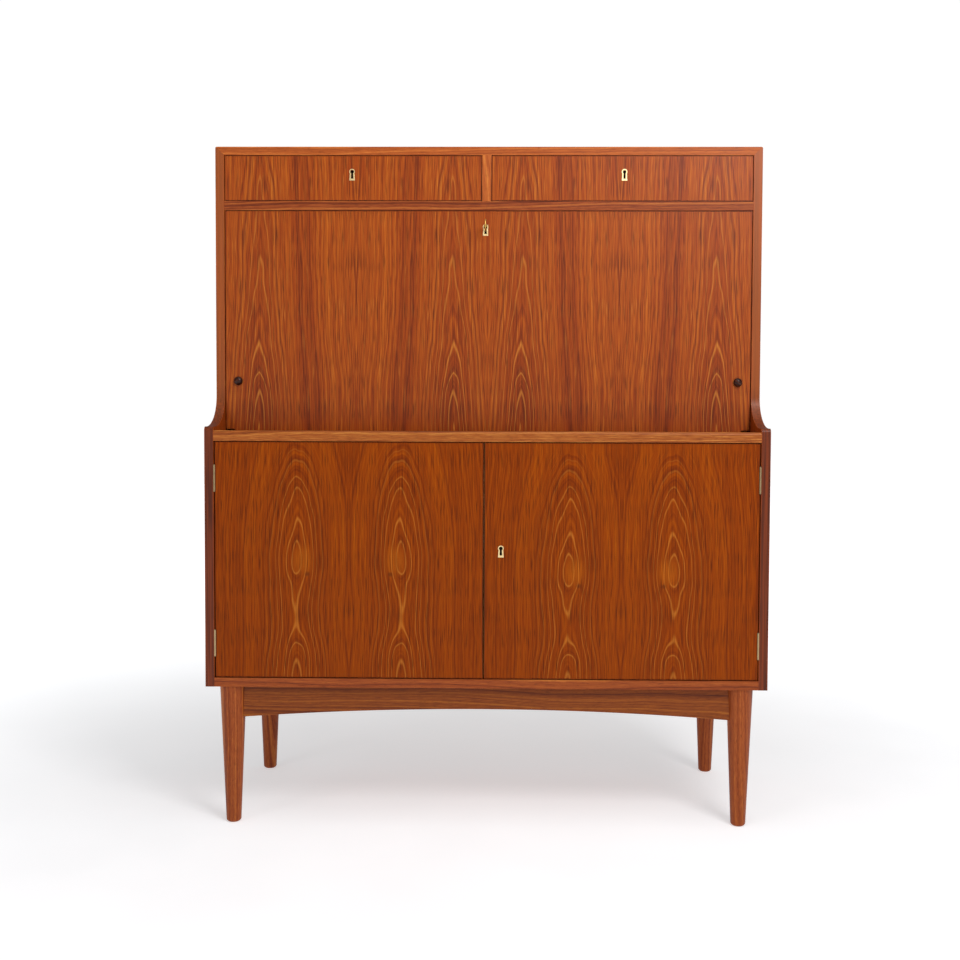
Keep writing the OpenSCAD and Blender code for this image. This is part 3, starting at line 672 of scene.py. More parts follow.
# Deeper yellow with brown hollows, rubbed bright on the bow
KEY_BRASS = Metal("handled_brass", "#e0bc66", "#94733a", tarnish=0.5, roughness=0.34)
# Meant as brown-black metal. The frame has a material of this name, so that paler one is shown
OLD_BRASS = Metal("aged_brass", "#241b0f", "#0f0b07", tarnish=0.9, roughness=0.42)
# Dark grey-brown metal that stays in the background, on locks and screws
STEEL = Metal("browned_steel", "#383431", "#1b1917", tarnish=0.6, roughness=0.38)

# Golden brown with dark streaks, on the flap, the drawers and the sides
VENEER_GOLD = (
    (0.05, "#3c1409"), (0.28, "#6c2607"), (0.50, "#903a08"), (0.72, "#ad550f"), (0.97, "#cd8029"),
)
# Deeper and redder, on the doors
VENEER_RED = (
    (0.05, "#401402"), (0.28, "#682501"), (0.50, "#893700"), (0.72, "#a04b02"), (0.97, "#c07214"),
)

# Flap and drawer fronts are cut from the same four leaves, so their figure runs through
FLAP_FIGURE = {
    "seam_mm": 0.0,
    "leaf_mm": 256.0,
    "figure_mm": 66.0,
    "foot_mm": 749.0,
    "head_mm": 1284.0,
    "heart": ((0.0, 0.02), (1.0, 0.47), (0.135, 0.10), (0.24, 0.19), (0.365, 0.27), (0.8, 0.41)),
    "zones": (
        (0.0, 0.44), (1.0, 0.55), (0.10, 0.44), (0.24, 0.54), (0.36, 0.57), (0.455, 0.50),
        (0.475, 0.36), (0.495, 0.50), (0.575, 0.52), (0.59, 0.38), (0.605, 0.53), (0.80, 0.58),
    ),
    "colours": VENEER_GOLD,
    "roundness": 1.4,
    "streaks": 0.55,
    "arches": 0.6,
    "arch_fade_mm": (22.0, 74.0),
    "flecks": 0.36,
    "shine": 0.21,
}
# Each door has two leaves, with arches over a small knot and more arches at its foot
DOOR_FIGURE = {
    "leaf_mm": 254.0,
    "figure_mm": 100.0,
    "foot_mm": 283.0,
    "head_mm": 729.0,
    "heart": ((0.0, 0.06), (1.0, 0.64), (0.10, 0.13), (0.24, 0.26), (0.38, 0.25), (0.50, 0.17),
              (0.62, 0.23)),
    "zones": (
        (0.0, 0.50), (1.0, 0.48), (0.12, 0.49), (0.28, 0.48), (0.38, 0.53), (0.46, 0.55),
        (0.55, 0.50), (0.66, 0.51), (0.80, 0.47),
    ),
    "colours": VENEER_RED,
    "roundness": 1.75,
    "shine": 0.08,
    "streaks": 0.42,
    "late": 0.16,
    "arches": 0.42,
}
# One broad leaf and a part of the next, with slow arches
SIDE_FIGURE = {
    "seam_mm": 20.0, "leaf_mm": 240.0, "figure_mm": 105.0, "foot_mm": 265.0, "head_mm": 1300.0,
    "heart": ((0.0, 0.10), (1.0, 0.75), (0.35, 0.40), (0.5, 0.28), (0.75, 0.55)),
    "zones": ((0.0, 0.46), (1.0, 0.58), (0.2, 0.50), (0.4, 0.58), (0.7, 0.50)), "colours": VENEER_GOLD,
    "arches": 0.4,
}


# ---------------------------------------------------------------- bench work


def settle(
    mesh: bmesh.types.BMesh, name: str, body: str, finish: Finish, slot: Slot, sharp_deg: float = 38.0,
) -> bpy.types.Object:
    """Turns a finished mesh into a piece that rides on a body.

    Args:
        mesh: the mesh, which is freed.
        name: the piece's name.
        body: the CAD body that it moves with.
        finish: what it is dressed in.
        slot: the record's slot for that finish; not used.
        sharp_deg: edges that turn by more stay crisp.

    Returns:
        The new object.
    """
    for face in mesh.faces:
        face.smooth = True
    for edge in mesh.edges:
        edge.smooth = len(edge.link_faces) == 2 and edge.calc_face_angle() < math.radians(sharp_deg)
    data = bpy.data.meshes.new(name)
    mesh.to_mesh(data)
    mesh.free()
    piece = bpy.data.objects.new(name, data)
    bpy.context.scene.collection.objects.link(piece)
    data.materials.append(finish.make())
    weighted = piece.modifiers.new("even_shading", "WEIGHTED_NORMAL")
    weighted.keep_sharp = True
    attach(piece, body)
    LOG.info("%s on %s: %d faces, %s", name, body, len(data.polygons), finish.name)
    return piece


def merged(node: str) -> bmesh.types.BMesh:
    """Copies a CAD node's loose triangles into one joined mesh of flat faces."""
    mesh = bmesh.new()
    mesh.from_mesh(frame["nodes"][node].data)
    bmesh.ops.remove_doubles(mesh, verts=mesh.verts[:], dist=0.005 * MM)
    # Only faces that lie in one plane join: the apron's arch turns 0.15 degrees a facet
    bmesh.ops.dissolve_limit(
        mesh, angle_limit=math.radians(0.04), verts=mesh.verts[:], edges=mesh.edges[:]
    )
    return mesh


def is_sound(mesh: bmesh.types.BMesh) -> bool:
    """Tells whether no face folds over itself, by its triangles' total area."""
    covered = {face: 0.0 for face in mesh.faces}
    for loops in mesh.calc_loop_triangles():
        one, two, three = (loop.vert.co for loop in loops)
        covered[loops[0].face] += (two - one).cross(three - one).length / 2
    return all(abs(area - face.calc_area()) < 1e-5 for face, area in covered.items())


def soften(
    node: str, finish: Finish, slot: Slot, width: float = 0.5 * MM, shortest: float = 12 * MM,
    segments: int = 2,
) -> bpy.types.Object:
    """Makes a copy of a CAD part with its arrises taken off, which stands for the part.

    Args:
        node: the CAD node.
        finish: what the copy is dressed in.
        slot: the record's slot for that finish; passed on to settle, which does not use it.
        width: how much comes off an arris.
        shortest: edges shorter than this are left as they are, and so are longer ones
            where a softened edge would fold a face over itself.
        segments: facets across a softened arris.

    Returns:
        The copy.
    """
    for reach in (shortest, 2 * shortest, 4 * shortest, 8 * shortest, math.inf):
        mesh = merged(node)
        arrises = [
            edge
            for edge in mesh.edges
            if len(edge.link_faces) == 2
            and edge.is_convex
            and edge.calc_face_angle() > math.radians(40)
            and edge.calc_length() >= reach
        ]
        if arrises:
            bmesh.ops.bevel(
                mesh, geom=arrises, offset=width, offset_type="OFFSET", affect="EDGES",
                segments=segments, profile=0.5, material=-1, clamp_overlap=False,
            )
        if is_sound(mesh) or not arrises:
            break
        LOG.info("%s: faces fold where edges of %.1f mm are softened", node, reach / MM)
        mesh.free()
    piece = settle(mesh, f"{node}_finished", frame["nodes"][node]["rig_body"], finish, slot)
    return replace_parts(piece, node)


def solids_of(node: str) -> list[Box]:
    """Finds the separate solids in a CAD node.

    Args:
        node: the CAD node.

    Returns:
        The lowest and highest corner of each, sorted by place.
    """
    mesh = bmesh.new()
    mesh.from_mesh(frame["nodes"][node].data)
    bmesh.ops.remove_doubles(mesh, verts=mesh.verts[:], dist=0.005 * MM)
    waiting = set(mesh.verts)
    boxes: list[Box] = []
    while waiting:
        group = [waiting.pop()]
        for vert in group:
            for edge in vert.link_edges:
                other = edge.other_vert(vert)
                if other in waiting:
                    waiting.discard(other)
                    group.append(other)
        corners = [vert.co.copy() for vert in group]
        low = Vector(min(c[i] for c in corners) for i in range(3))
        high = Vector(max(c[i] for c in corners) for i in range(3))
        boxes.append((low, high))
    mesh.free()
    return sorted(boxes, key=lambda box: tuple(round(v, 5) for v in (*box[0], *box[1])))


def facing(at: Vector, way: Vector, spin_deg: float = 0.0) -> Matrix:
    """Places something drawn round +Z at a point, facing a given way.

    Args:
        at: the point.
        way: the direction that +Z turns to.
        spin_deg: turn about that direction.

    Returns:
        The placing matrix.
    """
    turn = way.to_track_quat("Z", "Y").to_matrix().to_4x4()
    return Matrix.Translation(at) @ turn @ Matrix.Rotation(math.radians(spin_deg), 4, "Z")


def lathe(mesh: bmesh.types.BMesh, outline: Curve, place: Matrix, steps: int = 48) -> None:
    """Turns an outline of (radius, height) points, from pole to pole, into a closed shape.

    Args:
        mesh: the mesh that the shape joins.
        outline: points from the foot's middle to the head's middle, both at radius 0.
        place: where the shape goes, from round +Z.
        steps: facets round it.
    """
    verts = [mesh.verts.new((radius, 0.0, height)) for radius, height in outline]
    edges = [mesh.edges.new(pair) for pair in zip(verts, verts[1:])]
    fresh = spun(mesh, verts, edges, axis=(0, 0, 1), steps=steps)
    bmesh.ops.transform(mesh, matrix=place, verts=fresh)


def spun(
    mesh: bmesh.types.BMesh, verts: list[bmesh.types.BMVert], edges: list[bmesh.types.BMEdge],
    axis: tuple[int, int, int], steps: int,
) -> list[bmesh.types.BMVert]:
    """Spins a line of edges once round the origin and closes the skin that it leaves.

    Args:
        mesh: the mesh that holds the line.
        verts: the line's vertices.
        edges: its edges.
        axis: what it turns about.
        steps: facets round it.

    Returns:
        The vertices of the new shape.
    """
    bmesh.ops.spin(
        mesh, geom=verts + edges, cent=(0, 0, 0), axis=axis, angle=math.tau, steps=steps,
        use_merge=True, use_duplicate=False,
    )
    fresh = connected(verts[0])
    bmesh.ops.remove_doubles(mesh, verts=fresh, dist=0.01 * MM)
    fresh = [vert for vert in fresh if vert.is_valid]
    faces = list({face for vert in fresh for face in vert.link_faces})
    bmesh.ops.recalc_face_normals(mesh, faces=faces)
    return fresh


def connected(start: bmesh.types.BMVert) -> list[bmesh.types.BMVert]:
    """Lists the vertices that are joined to one by edges, itself included."""
    found = [start]
    seen = {start}
    for vert in found:
        for edge in vert.link_edges:
            other = edge.other_vert(vert)
            if other not in seen:
                seen.add(other)
                found.append(other)
    return found


@dataclass(frozen=True)
class SlottedHead:
    """The head of a countersunk wood screw, with its slot.

    Attributes:
        radius: of the head.
        rise: how far the head stands proud.
        slot: width of the slot.
    """

    radius: float
    rise: float = 0.35 * MM
    slot: float = 0.8 * MM

    def drive(self, mesh: bmesh.types.BMesh, place: Matrix) -> None:
        """Sets one head in a mesh, its top at the placed point plus the rise.

        Args:
            mesh: the mesh that the head joins.
            place: where it goes, its top facing +Z.
        """
        disc = bmesh.ops.create_circle(mesh, cap_ends=True, radius=self.radius, segments=20)
        base = disc["verts"][0].link_faces[0]
        base.normal_flip()
        lifted = bmesh.ops.extrude_face_region(mesh, geom=[base], use_keep_orig=True)
        top = [g for g in lifted["geom"] if isinstance(g, bmesh.types.BMVert)]
        bmesh.ops.translate(mesh, verts=disc["verts"], vec=(0, 0, -0.5 * MM))
        for side in (-1, 1):
            verts = connected(top[0])
            faces = {face for vert in verts for face in vert.link_faces}
            edges = {edge for vert in verts for edge in vert.link_edges}
            bmesh.ops.bisect_plane(
                mesh, geom=[*verts, *edges, *faces], plane_co=(side * self.slot / 2, 0, 0),
                plane_no=(1, 0, 0),
            )
        fresh = connected(top[0])
        faces = {face for vert in fresh for face in vert.link_faces}
        lips = [
            face
            for face in faces
            if all(abs(vert.co.z) < 1e-7 for vert in face.verts)
            and abs(face.calc_center_median().x) > self.slot / 2
        ]
        for lip in sorted(lips, key=lambda face: face.calc_center_median().x):
            raised = bmesh.ops.extrude_face_region(mesh, geom=[lip])
            verts = [g for g in raised["geom"] if isinstance(g, bmesh.types.BMVert)]
            bmesh.ops.translate(mesh, verts=verts, vec=(0, 0, self.rise))
        fresh = connected(top[0])
        faces = list({face for vert in fresh for face in vert.link_faces})
        bmesh.ops.recalc_face_normals(mesh, faces=faces)
        rims = [
            edge
            for edge in {edge for vert in fresh for edge in vert.link_edges}
            if all(abs(vert.co.z - self.rise) < 1e-7 for vert in edge.verts)
        ]
        bmesh.ops.bevel(
            mesh, geom=sorted(rims, key=lambda edge: tuple(edge.verts[0].co)), offset=0.12 * MM,
            offset_type="OFFSET", affect="EDGES", segments=1, profile=0.5, material=-1,
            clamp_overlap=True,
        )
        bmesh.ops.transform(mesh, matrix=place, verts=connected(disc["verts"][0]))


def drive_screws(
    name: str, body: str, head: SlottedHead, places: Iterable[Matrix], finish: Finish, slot: Slot
) -> bpy.types.Object:
    """Makes one piece of several screw heads.

    Args:
        name: the piece's name.
        body: the CAD body that it rides on.
        head: the kind of head.
        places: where the heads go.
        finish: what they are made of.
        slot: the record's slot for that; passed on to settle, which does not use it.

    Returns:
        The new piece.
    """
    mesh = bmesh.new()
    for place in places:
        head.drive(mesh, place)
    return settle(mesh, name, body, finish, slot)


# ---------------------------------------------------------------- the desk


@dataclass
class Carcass:
    """The two side panels and the boards between them.

    Attributes:
        joint: taken off where boards meet flush, so that the joint is a hairline.
    """

    joint: float = 0.35 * MM

    def build(self) -> None:
        """Builds and dresses the panels and boards."""
        for side in ("left", "right"):
            panel = f"{side}_side_panel"
            finish = SideVeneer(f"oiled_teak_veneer_{side}_side", panel, **SIDE_FIGURE)
            soften(panel, finish, Slot.TEAK, self.joint, shortest=1.5 * MM)
        for board, teak in (
            ("top_board", TEAK_TOP), ("bottom_board", TEAK_ACROSS), ("drawer_rail_board", TEAK_RAIL),
            ("drawer_divider", TEAK_UP), ("ledge_board", TEAK_LEDGE),
        ):
            soften(board, teak, Slot.TEAK, self.joint)


@dataclass
class Interior:
    """What the flap and the doors hide: the writing bed, the pigeonholes and the shelves."""

    arris: float = 0.5 * MM

    def build(self) -> None:
        """Builds and dresses the inner boards."""
        for board, teak in (
            ("desk_bed", TEAK_ACROSS), ("pigeonhole_shelf", TEAK_ACROSS),
            ("pigeonhole_dividers", TEAK_UP), ("flap_stop", TEAK_ACROSS),
        ):
            soften(board, teak, Slot.TEAK, self.arris)
        for board in ("cabinet_deck", "bed_bearers", "left_shelf", "right_shelf"):
            soften(board, BIRCH_ACROSS, Slot.BIRCH, self.arris)
        soften("centre_partition", BIRCH_UP, Slot.BIRCH, self.arris)
        soften("shelf_pins", BRASS, Slot.BRASS, 0.3 * MM, shortest=0.2 * MM)


@dataclass
class Back:
    """The plywood back and the screws that hold it and the base."""

    head: SlottedHead = SlottedHead(3.5 * MM)

    def build(self) -> None:
        """Builds the back panel and the slotted screws."""
        soften("back_panel", GABOON_PLY, Slot.PLY, 0.3 * MM)
        heads = drive_screws(
            "slotted_carcass_screws", "case", self.head, self.places(), STEEL, Slot.STEEL
        )
        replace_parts(heads, "carcass_screws")

    def places(self) -> list[Matrix]:
        """Finds the screw heads' places from the CAD screws."""
        found = []
        for index, (low, high) in enumerate(solids_of("carcass_screws")):
            middle = (low + high) / 2
            if high.y - low.y > high.z - low.z:
                at = Vector((middle.x, high.y - self.head.rise, middle.z))
                way = Vector((0, 1, 0))
            else:
                at = Vector((middle.x, middle.y, low.z + self.head.rise))
                way = Vector((0, 0, -1))
            found.append(facing(at, way, spin_deg=37.0 * index))
        return found


@dataclass
class Base:
    """Four turned legs, with an arched apron in front and behind and a rail at each side."""

    foot_round: float = 1.2 * MM
    arris: float = 0.8 * MM

    def build(self) -> None:
        """Builds and dresses the legs, aprons and rails."""
        for place in ("front_left", "front_right", "back_left", "back_right"):
            soften(f"{place}_leg", TEAK_LEG, Slot.TEAK, self.foot_round, shortest=0.5 * MM)
        for place in ("front", "back"):
            soften(f"{place}_apron", TEAK_BASE, Slot.TEAK, self.arris, shortest=0.2 * MM)
        for side in ("left", "right"):
            soften(f"{side}_side_rail", TEAK_BACK, Slot.TEAK, self.arris)


@dataclass
class Lock:
    """A flush lock let into the wood, with its escutcheon and its sliding bolt.

    Attributes:
        owner: the start of its nodes' names, such as "flap".
        head: its screws.
        inset: distance of the screws from the case's corners.
        end_gap: how much further they stand from the ends of a case that lies on its side.
    """

    owner: str
    head: SlottedHead = SlottedHead(1.9 * MM, rise=0.2 * MM, slot=0.5 * MM)
    inset: float = 4.5 * MM
    end_gap: float = 2.2 * MM

    def build(self) -> None:
        """Builds the case with its screws, the escutcheon and the bolt."""
        metal = {"width": 0.2 * MM, "shortest": 0.5 * MM}
        case = soften(f"{self.owner}_lock", STEEL, Slot.STEEL, **metal)
        soften(f"{self.owner}_escutcheon", BRASS, Slot.BRASS, **metal)
        soften(f"{self.owner}_bolt", BRASS, Slot.BRASS, **metal)
        drive_screws(
            f"{self.owner}_lock_screws", case["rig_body"], self.head, self.places(), STEEL, Slot.STEEL,
        )

    def places(self) -> list[Matrix]:
        """Sets a screw in each corner of the case, on the inside of the front."""
        low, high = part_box(f"{self.owner}_lock")
        on_its_side = high.z - low.z < high.x - low.x
        inset_x = self.inset + (self.end_gap if on_its_side else 0.0)
        found = []
        for index in range(4):
            x = low.x + inset_x if index % 2 else high.x - inset_x
            z = low.z + self.inset if index < 2 else high.z - self.inset
            at = Vector((x, high.y, z))
            found.append(facing(at, Vector((0, 1, 0)), spin_deg=25.0 + 48.0 * index))
        return found


@dataclass
class Drawer:
    """A dovetailed birch drawer behind a veneered front.

    Attributes:
        side: "left" or "right".
    """

    side: str

    def build(self) -> None:
        """Builds and dresses the drawer and its lock."""
        name = f"{self.side}_drawer"
        front = f"{name}_front"
        finish = Veneer(f"oiled_teak_veneer_{name}", front, **FLAP_FIGURE)
        soften(front, finish, Slot.VENEER, 0.5 * MM, shortest=20 * MM)
        soften(f"{name}_sides", BIRCH_BACK, Slot.BIRCH, 0.6 * MM, shortest=30 * MM)
        soften(f"{name}_back", BIRCH_ACROSS, Slot.BIRCH, 0.5 * MM)
        soften(f"{name}_bottom", BIRCH_ACROSS, Slot.BIRCH, 0.3 * MM)
        Lock(name).build()


@dataclass
class Key:
    """The flap's key: a turned shank with a collar, an oval bow and a plain bit.

    Attributes:
        shank: radius of the shank.
        wire: half the thickness of the bow.
    """

    shank: float = 1.9 * MM
    wire: float = 1.3 * MM

    def build(self) -> None:
        """Builds the key in the place of the CAD key."""
        low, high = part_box("flap_key")
        middle = (low + high) / 2
        bow_reach = 8 * MM
        bow_y = low.y + bow_reach
        mesh = bmesh.new()
        start = bow_y + bow_reach - 1.2 * MM
        rings = [(0.0, start)]
        for radius, along in (
            (1.6, 0.0), (1.9, 0.4), (1.9, 1.6), (2.4, 2.0), (2.4, 2.6), (1.9, 3.0),
            (1.9, 4.4), (2.7, 4.9), (3.0, 5.5), (3.0, 6.8), (2.7, 7.4), (1.9, 7.8),
        ):
            rings.append((radius * MM, start + along * MM))
        rings += [(self.shank, high.y - 0.5 * MM), (self.shank - 0.5 * MM, high.y), (0.0, high.y)]
        along_y = Matrix.Translation((middle.x, 0, middle.z)) @ Matrix.Rotation(
            math.radians(-90), 4, "X"
        )
        lathe(mesh, rings, along_y, steps=32)
        self.add_bow(mesh, Vector((middle.x, bow_y, middle.z)), bow_reach)
        self.add_bit(mesh, Vector((middle.x, high.y - 3.5 * MM, middle.z)))
        piece = settle(mesh, "turned_flap_key", "flap_key", KEY_BRASS, Slot.BRASS)
        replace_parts(piece, "flap_key")

    def add_bow(self, mesh: bmesh.types.BMesh, at: Vector, reach: float) -> None:
        """Bends a round wire into an upright oval, seen edge on from the front.

        Args:
            mesh: the key's mesh.
            at: the bow's middle.
            reach: half the bow's width, from front to back.
        """
        wire = bmesh.ops.create_circle(mesh, radius=self.wire, segments=16)["verts"]
        bmesh.ops.scale(mesh, verts=wire, vec=(1.0, 1.3, 1.0))
        bmesh.ops.translate(mesh, verts=wire, vec=(0, reach - 1.3 * self.wire, 0))
        edges = list({edge for vert in wire for edge in vert.link_edges})
        fresh = spun(mesh, wire, edges, axis=(1, 0, 0), steps=48)
        bmesh.ops.scale(mesh, verts=fresh, vec=(1.0, 1.0, 11 / 8))
        bmesh.ops.translate(mesh, verts=fresh, vec=at)

    def add_bit(self, mesh: bmesh.types.BMesh, at: Vector) -> None:
        """Files the bit: a plate under the shank with softened edges.

        Args:
            mesh: the key's mesh.
            at: the middle of the shank over the bit.
        """
        block = bmesh.ops.create_cube(mesh, size=1.0)["verts"]
        bmesh.ops.scale(mesh, verts=block, vec=(1.6 * MM, 5.0 * MM, 6.6 * MM))
        bmesh.ops.translate(mesh, verts=block, vec=at - Vector((0, 0, 4.2 * MM)))
        edges = list({edge for vert in block for edge in vert.link_edges})
        bmesh.ops.bevel(
            mesh, geom=edges, offset=0.25 * MM, offset_type="OFFSET", affect="EDGES", segments=2,
            profile=0.5, material=-1,
        )


@dataclass
class Flap:
    """The writing flap, its two turned stop buttons, its pivots and its lock.

    Attributes:
        rim_round: radius of the buttons' front arris; not used.
    """

    rim_round: float = 0.8 * MM

    def build(self) -> None:
        """Builds and dresses the flap and what is on it."""
        finish = Veneer("oiled_teak_veneer_flap", "flap_panel", **FLAP_FIGURE)
        soften("flap_panel", finish, Slot.VENEER, 0.5 * MM, shortest=16 * MM)
        for node in ("flap_pivots", "pivot_bushes"):
            soften(node, OLD_BRASS, Slot.AGED_BRASS, 0.3 * MM, shortest=0.2 * MM)
        self.turn_buttons()
        Lock("flap").build()
        Key().build()

    def turn_buttons(self) -> None:
        """Turns the domed rosewood buttons that the open flap rests on."""
        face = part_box("flap_panel")[0].y
        mesh = bmesh.new()
        for low, high in solids_of("flap_buttons"):
            radius = (high.x - low.x) / 2
            proud = face - low.y
            rim = 2.0 * MM
            dome = [
                (
                    radius * math.sin(math.radians(angle)),
                    rim + (proud - rim) * math.cos(math.radians(angle)),
                )
                for angle in range(84, 0, -7)
            ]
            outline = [(0.0, -3 * MM), (3.9 * MM, -3 * MM), (3.9 * MM, 0.0), (radius - 0.3 * MM, 0.0),
                       (radius, 0.4 * MM), (radius, rim), *dome, (0.0, proud)]
            at = Vector(((low.x + high.x) / 2, face, (low.z + high.z) / 2))
            lathe(mesh, outline, facing(at, Vector((0, -1, 0))))
        piece = settle(mesh, "turned_flap_buttons", "flap", ROSEWOOD, Slot.ROSEWOOD)
        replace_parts(piece, "flap_buttons")


@dataclass
class Door:
    """A cabinet door with two book-matched leaves on its face.

    Attributes:
        side: "left" or "right".
        drop_mm: how much lower its figure sits than the left door's.
    """

    side: str
    drop_mm: float = 0.0

    def build(self) -> None:
        """Builds and dresses the door."""
        panel = f"{self.side}_door_panel"
        low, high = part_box(panel)
        figure = dict(DOOR_FIGURE)
        figure["foot_mm"] -= self.drop_mm
        figure["head_mm"] -= self.drop_mm
        figure["seam_mm"] = (low.x + high.x) / 2 / MM
        knot_mm = figure["foot_mm"] + 0.5 * (high.z - low.z) / MM
        finish = Veneer(f"oiled_teak_veneer_{self.side}_door", panel, knot_mm=knot_mm, **figure)
        soften(panel, finish, Slot.VENEER, 0.5 * MM, shortest=16 * MM)


@dataclass
class Hinges:
    """Four brass butt hinges, each with a pin, two leaves and slotted screws.

    Attributes:
        head: the hinge screws.
        spread: distance of the outer screws from the middle one.
        stagger: how far the outer screws stand out from the middle one.
        tip: radius and height of a pin's domed end.
        knuckle: radius of a knuckle.
        leaf: thickness of a leaf.
    """

    head: SlottedHead = SlottedHead(2.2 * MM, rise=0.15 * MM, slot=0.5 * MM)
    spread: float = 17 * MM
    stagger: float = 1.5 * MM
    tip: tuple[float, float] = (2.0 * MM, 0.9 * MM)
    knuckle: float = 2.4 * MM
    leaf: float = 1.2 * MM

    def build(self) -> None:
        """Builds the leaves, the pins' ends and the screws."""
        metal = {"width": 0.25 * MM, "shortest": 0.8 * MM}
        soften("hinge_case_leaves", OLD_BRASS, Slot.AGED_BRASS, **metal)
        case_places = []
        tips = bmesh.new()
        for low, high in solids_of("hinge_case_leaves"):
            out = 1 if low.x < 0 else -1
            case_places += self.places(low, high, out)
            pin = (high.x - self.knuckle) if out == 1 else (low.x + self.knuckle)
            for z, way in ((high.z, 1), (low.z, -1)):
                self.add_tip(tips, Vector((pin, low.y + self.knuckle, z)), way)
        settle(tips, "hinge_pin_tips", "case", OLD_BRASS, Slot.AGED_BRASS)
        drive_screws("hinge_case_screws", "case", self.head, case_places, OLD_BRASS, Slot.AGED_BRASS)
        for side, out in (("left", -1), ("right", 1)):
            node = f"{side}_door_hinge_leaves"
            soften(node, OLD_BRASS, Slot.AGED_BRASS, **metal)
            places = [m for low, high in solids_of(node) for m in self.places(low, high, out)]
            drive_screws(
                f"{side}_door_hinge_screws", f"{side}_door", self.head, places, OLD_BRASS,
                Slot.AGED_BRASS,
            )

    def places(self, low: Vector, high: Vector, out: int) -> list[Matrix]:
        """Finds a leaf's screw places.

        Args:
            low: the leaf's lowest corner, knuckles included.
            high: its highest corner.
            out: 1 if the leaf shows its +X face, or -1.

        Returns:
            Three places.
        """
        # The leaf's shown face lies this far inside its knuckles' outer side
        step_in = 4.4 * MM - self.leaf
        face = (high.x - step_in) if out == 1 else (low.x + step_in)
        middle_y = (low.y + 2 * self.knuckle + high.y) / 2
        middle_z = (low.z + high.z) / 2
        found = []
        for step in (-1, 0, 1):
            y = middle_y + self.stagger * (1 if step else -1)
            at = Vector((face, y, middle_z + step * self.spread))
            found.append(facing(at, Vector((out, 0, 0)), spin_deg=20.0 + 55.0 * step))
        return found

    def add_tip(self, mesh: bmesh.types.BMesh, at: Vector, way: int) -> None:
        """Adds the domed end of a hinge pin.

        Args:
            mesh: the mesh that it joins.
            at: the middle of the knuckle's end.
            way: 1 if it points up, or -1.
        """
        radius, height = self.tip
        dome = [
            (radius * math.cos(math.radians(a)), height * math.sin(math.radians(a)))
            for a in range(0, 90, 15)
        ]
        outline = [(0.0, -0.3 * MM), (radius, -0.3 * MM), *dome, (0.0, height)]
        lathe(mesh, outline, facing(at, Vector((0, 0, way))), steps=20)


@dataclass
class SlideBolt:
    """The brass bolt that holds the left door shut from inside."""

    def build(self) -> None:
        """Builds the bolt and its guides."""
        metal = {"width": 0.3 * MM, "shortest": 0.3 * MM}
        soften("left_door_bolt_guides", BRASS, Slot.BRASS, **metal)
        soften("left_door_bolt", BRASS, Slot.BRASS, **metal)


# ---------------------------------------------------------------- the studio


@dataclass(frozen=True)
class Softbox:
    """A soft rectangular lamp.

    Attributes:
        name: the lamp's name.
        place: where it hangs.
        aim: what it points at.
        size: its edge.
        power: in watts.
    """

    name: str
    place: tuple[float, float, float]
    aim: tuple[float, float, float]
    size: float
    power: float

    def hang(self) -> None:
        """Makes the lamp."""
        light = bpy.data.lights.new(self.name, "AREA")
        light.shape = "SQUARE"
        light.size = self.size
        light.energy = self.power
        lamp = bpy.data.objects.new(self.name, light)
        way = Vector(self.aim) - Vector(self.place)
        lamp.matrix_world = Matrix.Translation(self.place) @ way.to_track_quat(
            "-Z", "Y"
        ).to_matrix().to_4x4()
        bpy.context.scene.collection.objects.link(lamp)


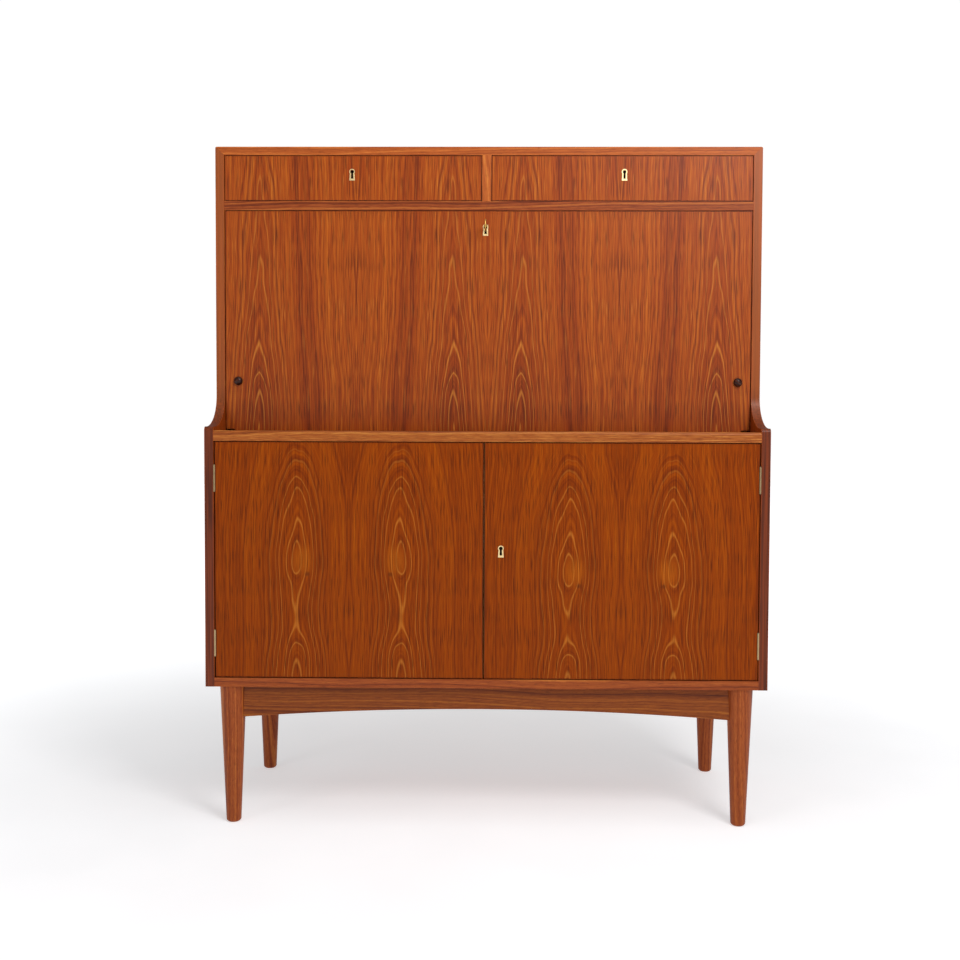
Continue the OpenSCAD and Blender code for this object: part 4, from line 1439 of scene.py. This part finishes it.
@dataclass(frozen=True)
class Studio:
    """A pale floor in white surroundings, three soft lamps and the camera.

    Attributes:
        eye: the camera's place.
        yaw: its turn to the right, in radians.
        pitch: its tilt up.
        roll: its lean.
        lens_mm: its focal length on a sensor 36 mm wide.
        backdrop: how bright the surroundings look to the camera.
        glow: how much light they give.
    """

    eye: tuple[float, float, float] = (0.0217, -2.4114, 0.7499)
    yaw: float = -0.01523
    pitch: float = -0.04135
    roll: float = 0.0039
    lens_mm: float = 44.18
    backdrop: float = 1.02
    glow: float = 0.24

    LAMPS = (
        Softbox("right_softbox", (1.1, -2.0, 2.25), (0.3, 0.0, 1.2), 0.9, 36.0),
        Softbox("left_softbox", (-2.2, -2.5, 1.9), (0.0, 0.0, 0.8), 1.1, 9.0),
        Softbox("overhead_softbox", (0.3, -0.9, 3.2), (0.1, 0.0, 0.4), 2.0, 26.0),
    )

    def build(self) -> None:
        """Sets up the floor, the light and the camera."""
        self.lay_floor()
        self.surround()
        for lamp in self.LAMPS:
            lamp.hang()
        self.set_camera()
        bpy.context.scene.view_settings.view_transform = "Standard"

    def surround(self) -> None:
        """Puts white walls far off, which look brighter than the light they give."""
        world = bpy.data.worlds.new("white_surroundings")
        world.use_nodes = True
        tree = world.node_tree
        seen = tree.nodes.new("ShaderNodeLightPath").outputs["Is Camera Ray"]
        strength = tree.nodes.new("ShaderNodeMapRange")
        strength.inputs["To Min"].default_value = self.glow
        strength.inputs["To Max"].default_value = self.backdrop
        tree.links.new(seen, strength.inputs["Value"])
        light = tree.nodes["Background"].inputs
        light["Color"].default_value = (1.0, 1.0, 1.0, 1.0)
        tree.links.new(strength.outputs["Result"], light["Strength"])
        bpy.context.scene.world = world

    def lay_floor(self) -> None:
        """Lays the floor, far wider than the view."""
        mesh = bmesh.new()
        bmesh.ops.create_grid(mesh, x_segments=8, y_segments=8, size=14.0)
        data = bpy.data.meshes.new("studio_floor")
        mesh.to_mesh(data)
        mesh.free()
        floor = bpy.data.objects.new("studio_floor", data)
        data.materials.append(GlowingFloor("glowing_studio_floor").make())
        bpy.context.scene.collection.objects.link(floor)

    def set_camera(self) -> None:
        """Puts the camera in its place and makes it the scene's."""
        ahead = Vector(
            (
                math.sin(self.yaw) * math.cos(self.pitch),
                math.cos(self.yaw) * math.cos(self.pitch),
                math.sin(self.pitch),
            )
        )
        right = Vector((math.cos(self.yaw), -math.sin(self.yaw), 0.0))
        up = right.cross(ahead)
        lean_right = math.cos(self.roll) * right + math.sin(self.roll) * up
        lean_up = -math.sin(self.roll) * right + math.cos(self.roll) * up
        turn = Matrix((lean_right, lean_up, -ahead)).transposed().to_4x4()
        data = bpy.data.cameras.new("studio_camera")
        data.lens = self.lens_mm
        data.sensor_width = 36.0
        camera = bpy.data.objects.new("studio_camera", data)
        camera.matrix_world = Matrix.Translation(self.eye) @ turn
        bpy.context.scene.collection.objects.link(camera)
        bpy.context.scene.camera = camera


def main() -> None:
    """Builds the studio and the desk, sub-assembly by sub-assembly."""
    logging.basicConfig(level=logging.INFO, format="%(name)s: %(message)s")
    Studio().build()
    for part in (
        Carcass(), Interior(), Back(), Base(), Drawer("left"), Drawer("right"), Flap(),
        Door("left"), Door("right", drop_mm=20.0), Lock("right_door"), Hinges(), SlideBolt(),
    ):
        LOG.info("building %s", part)
        part.build()


if __name__ == "__main__":
    main()
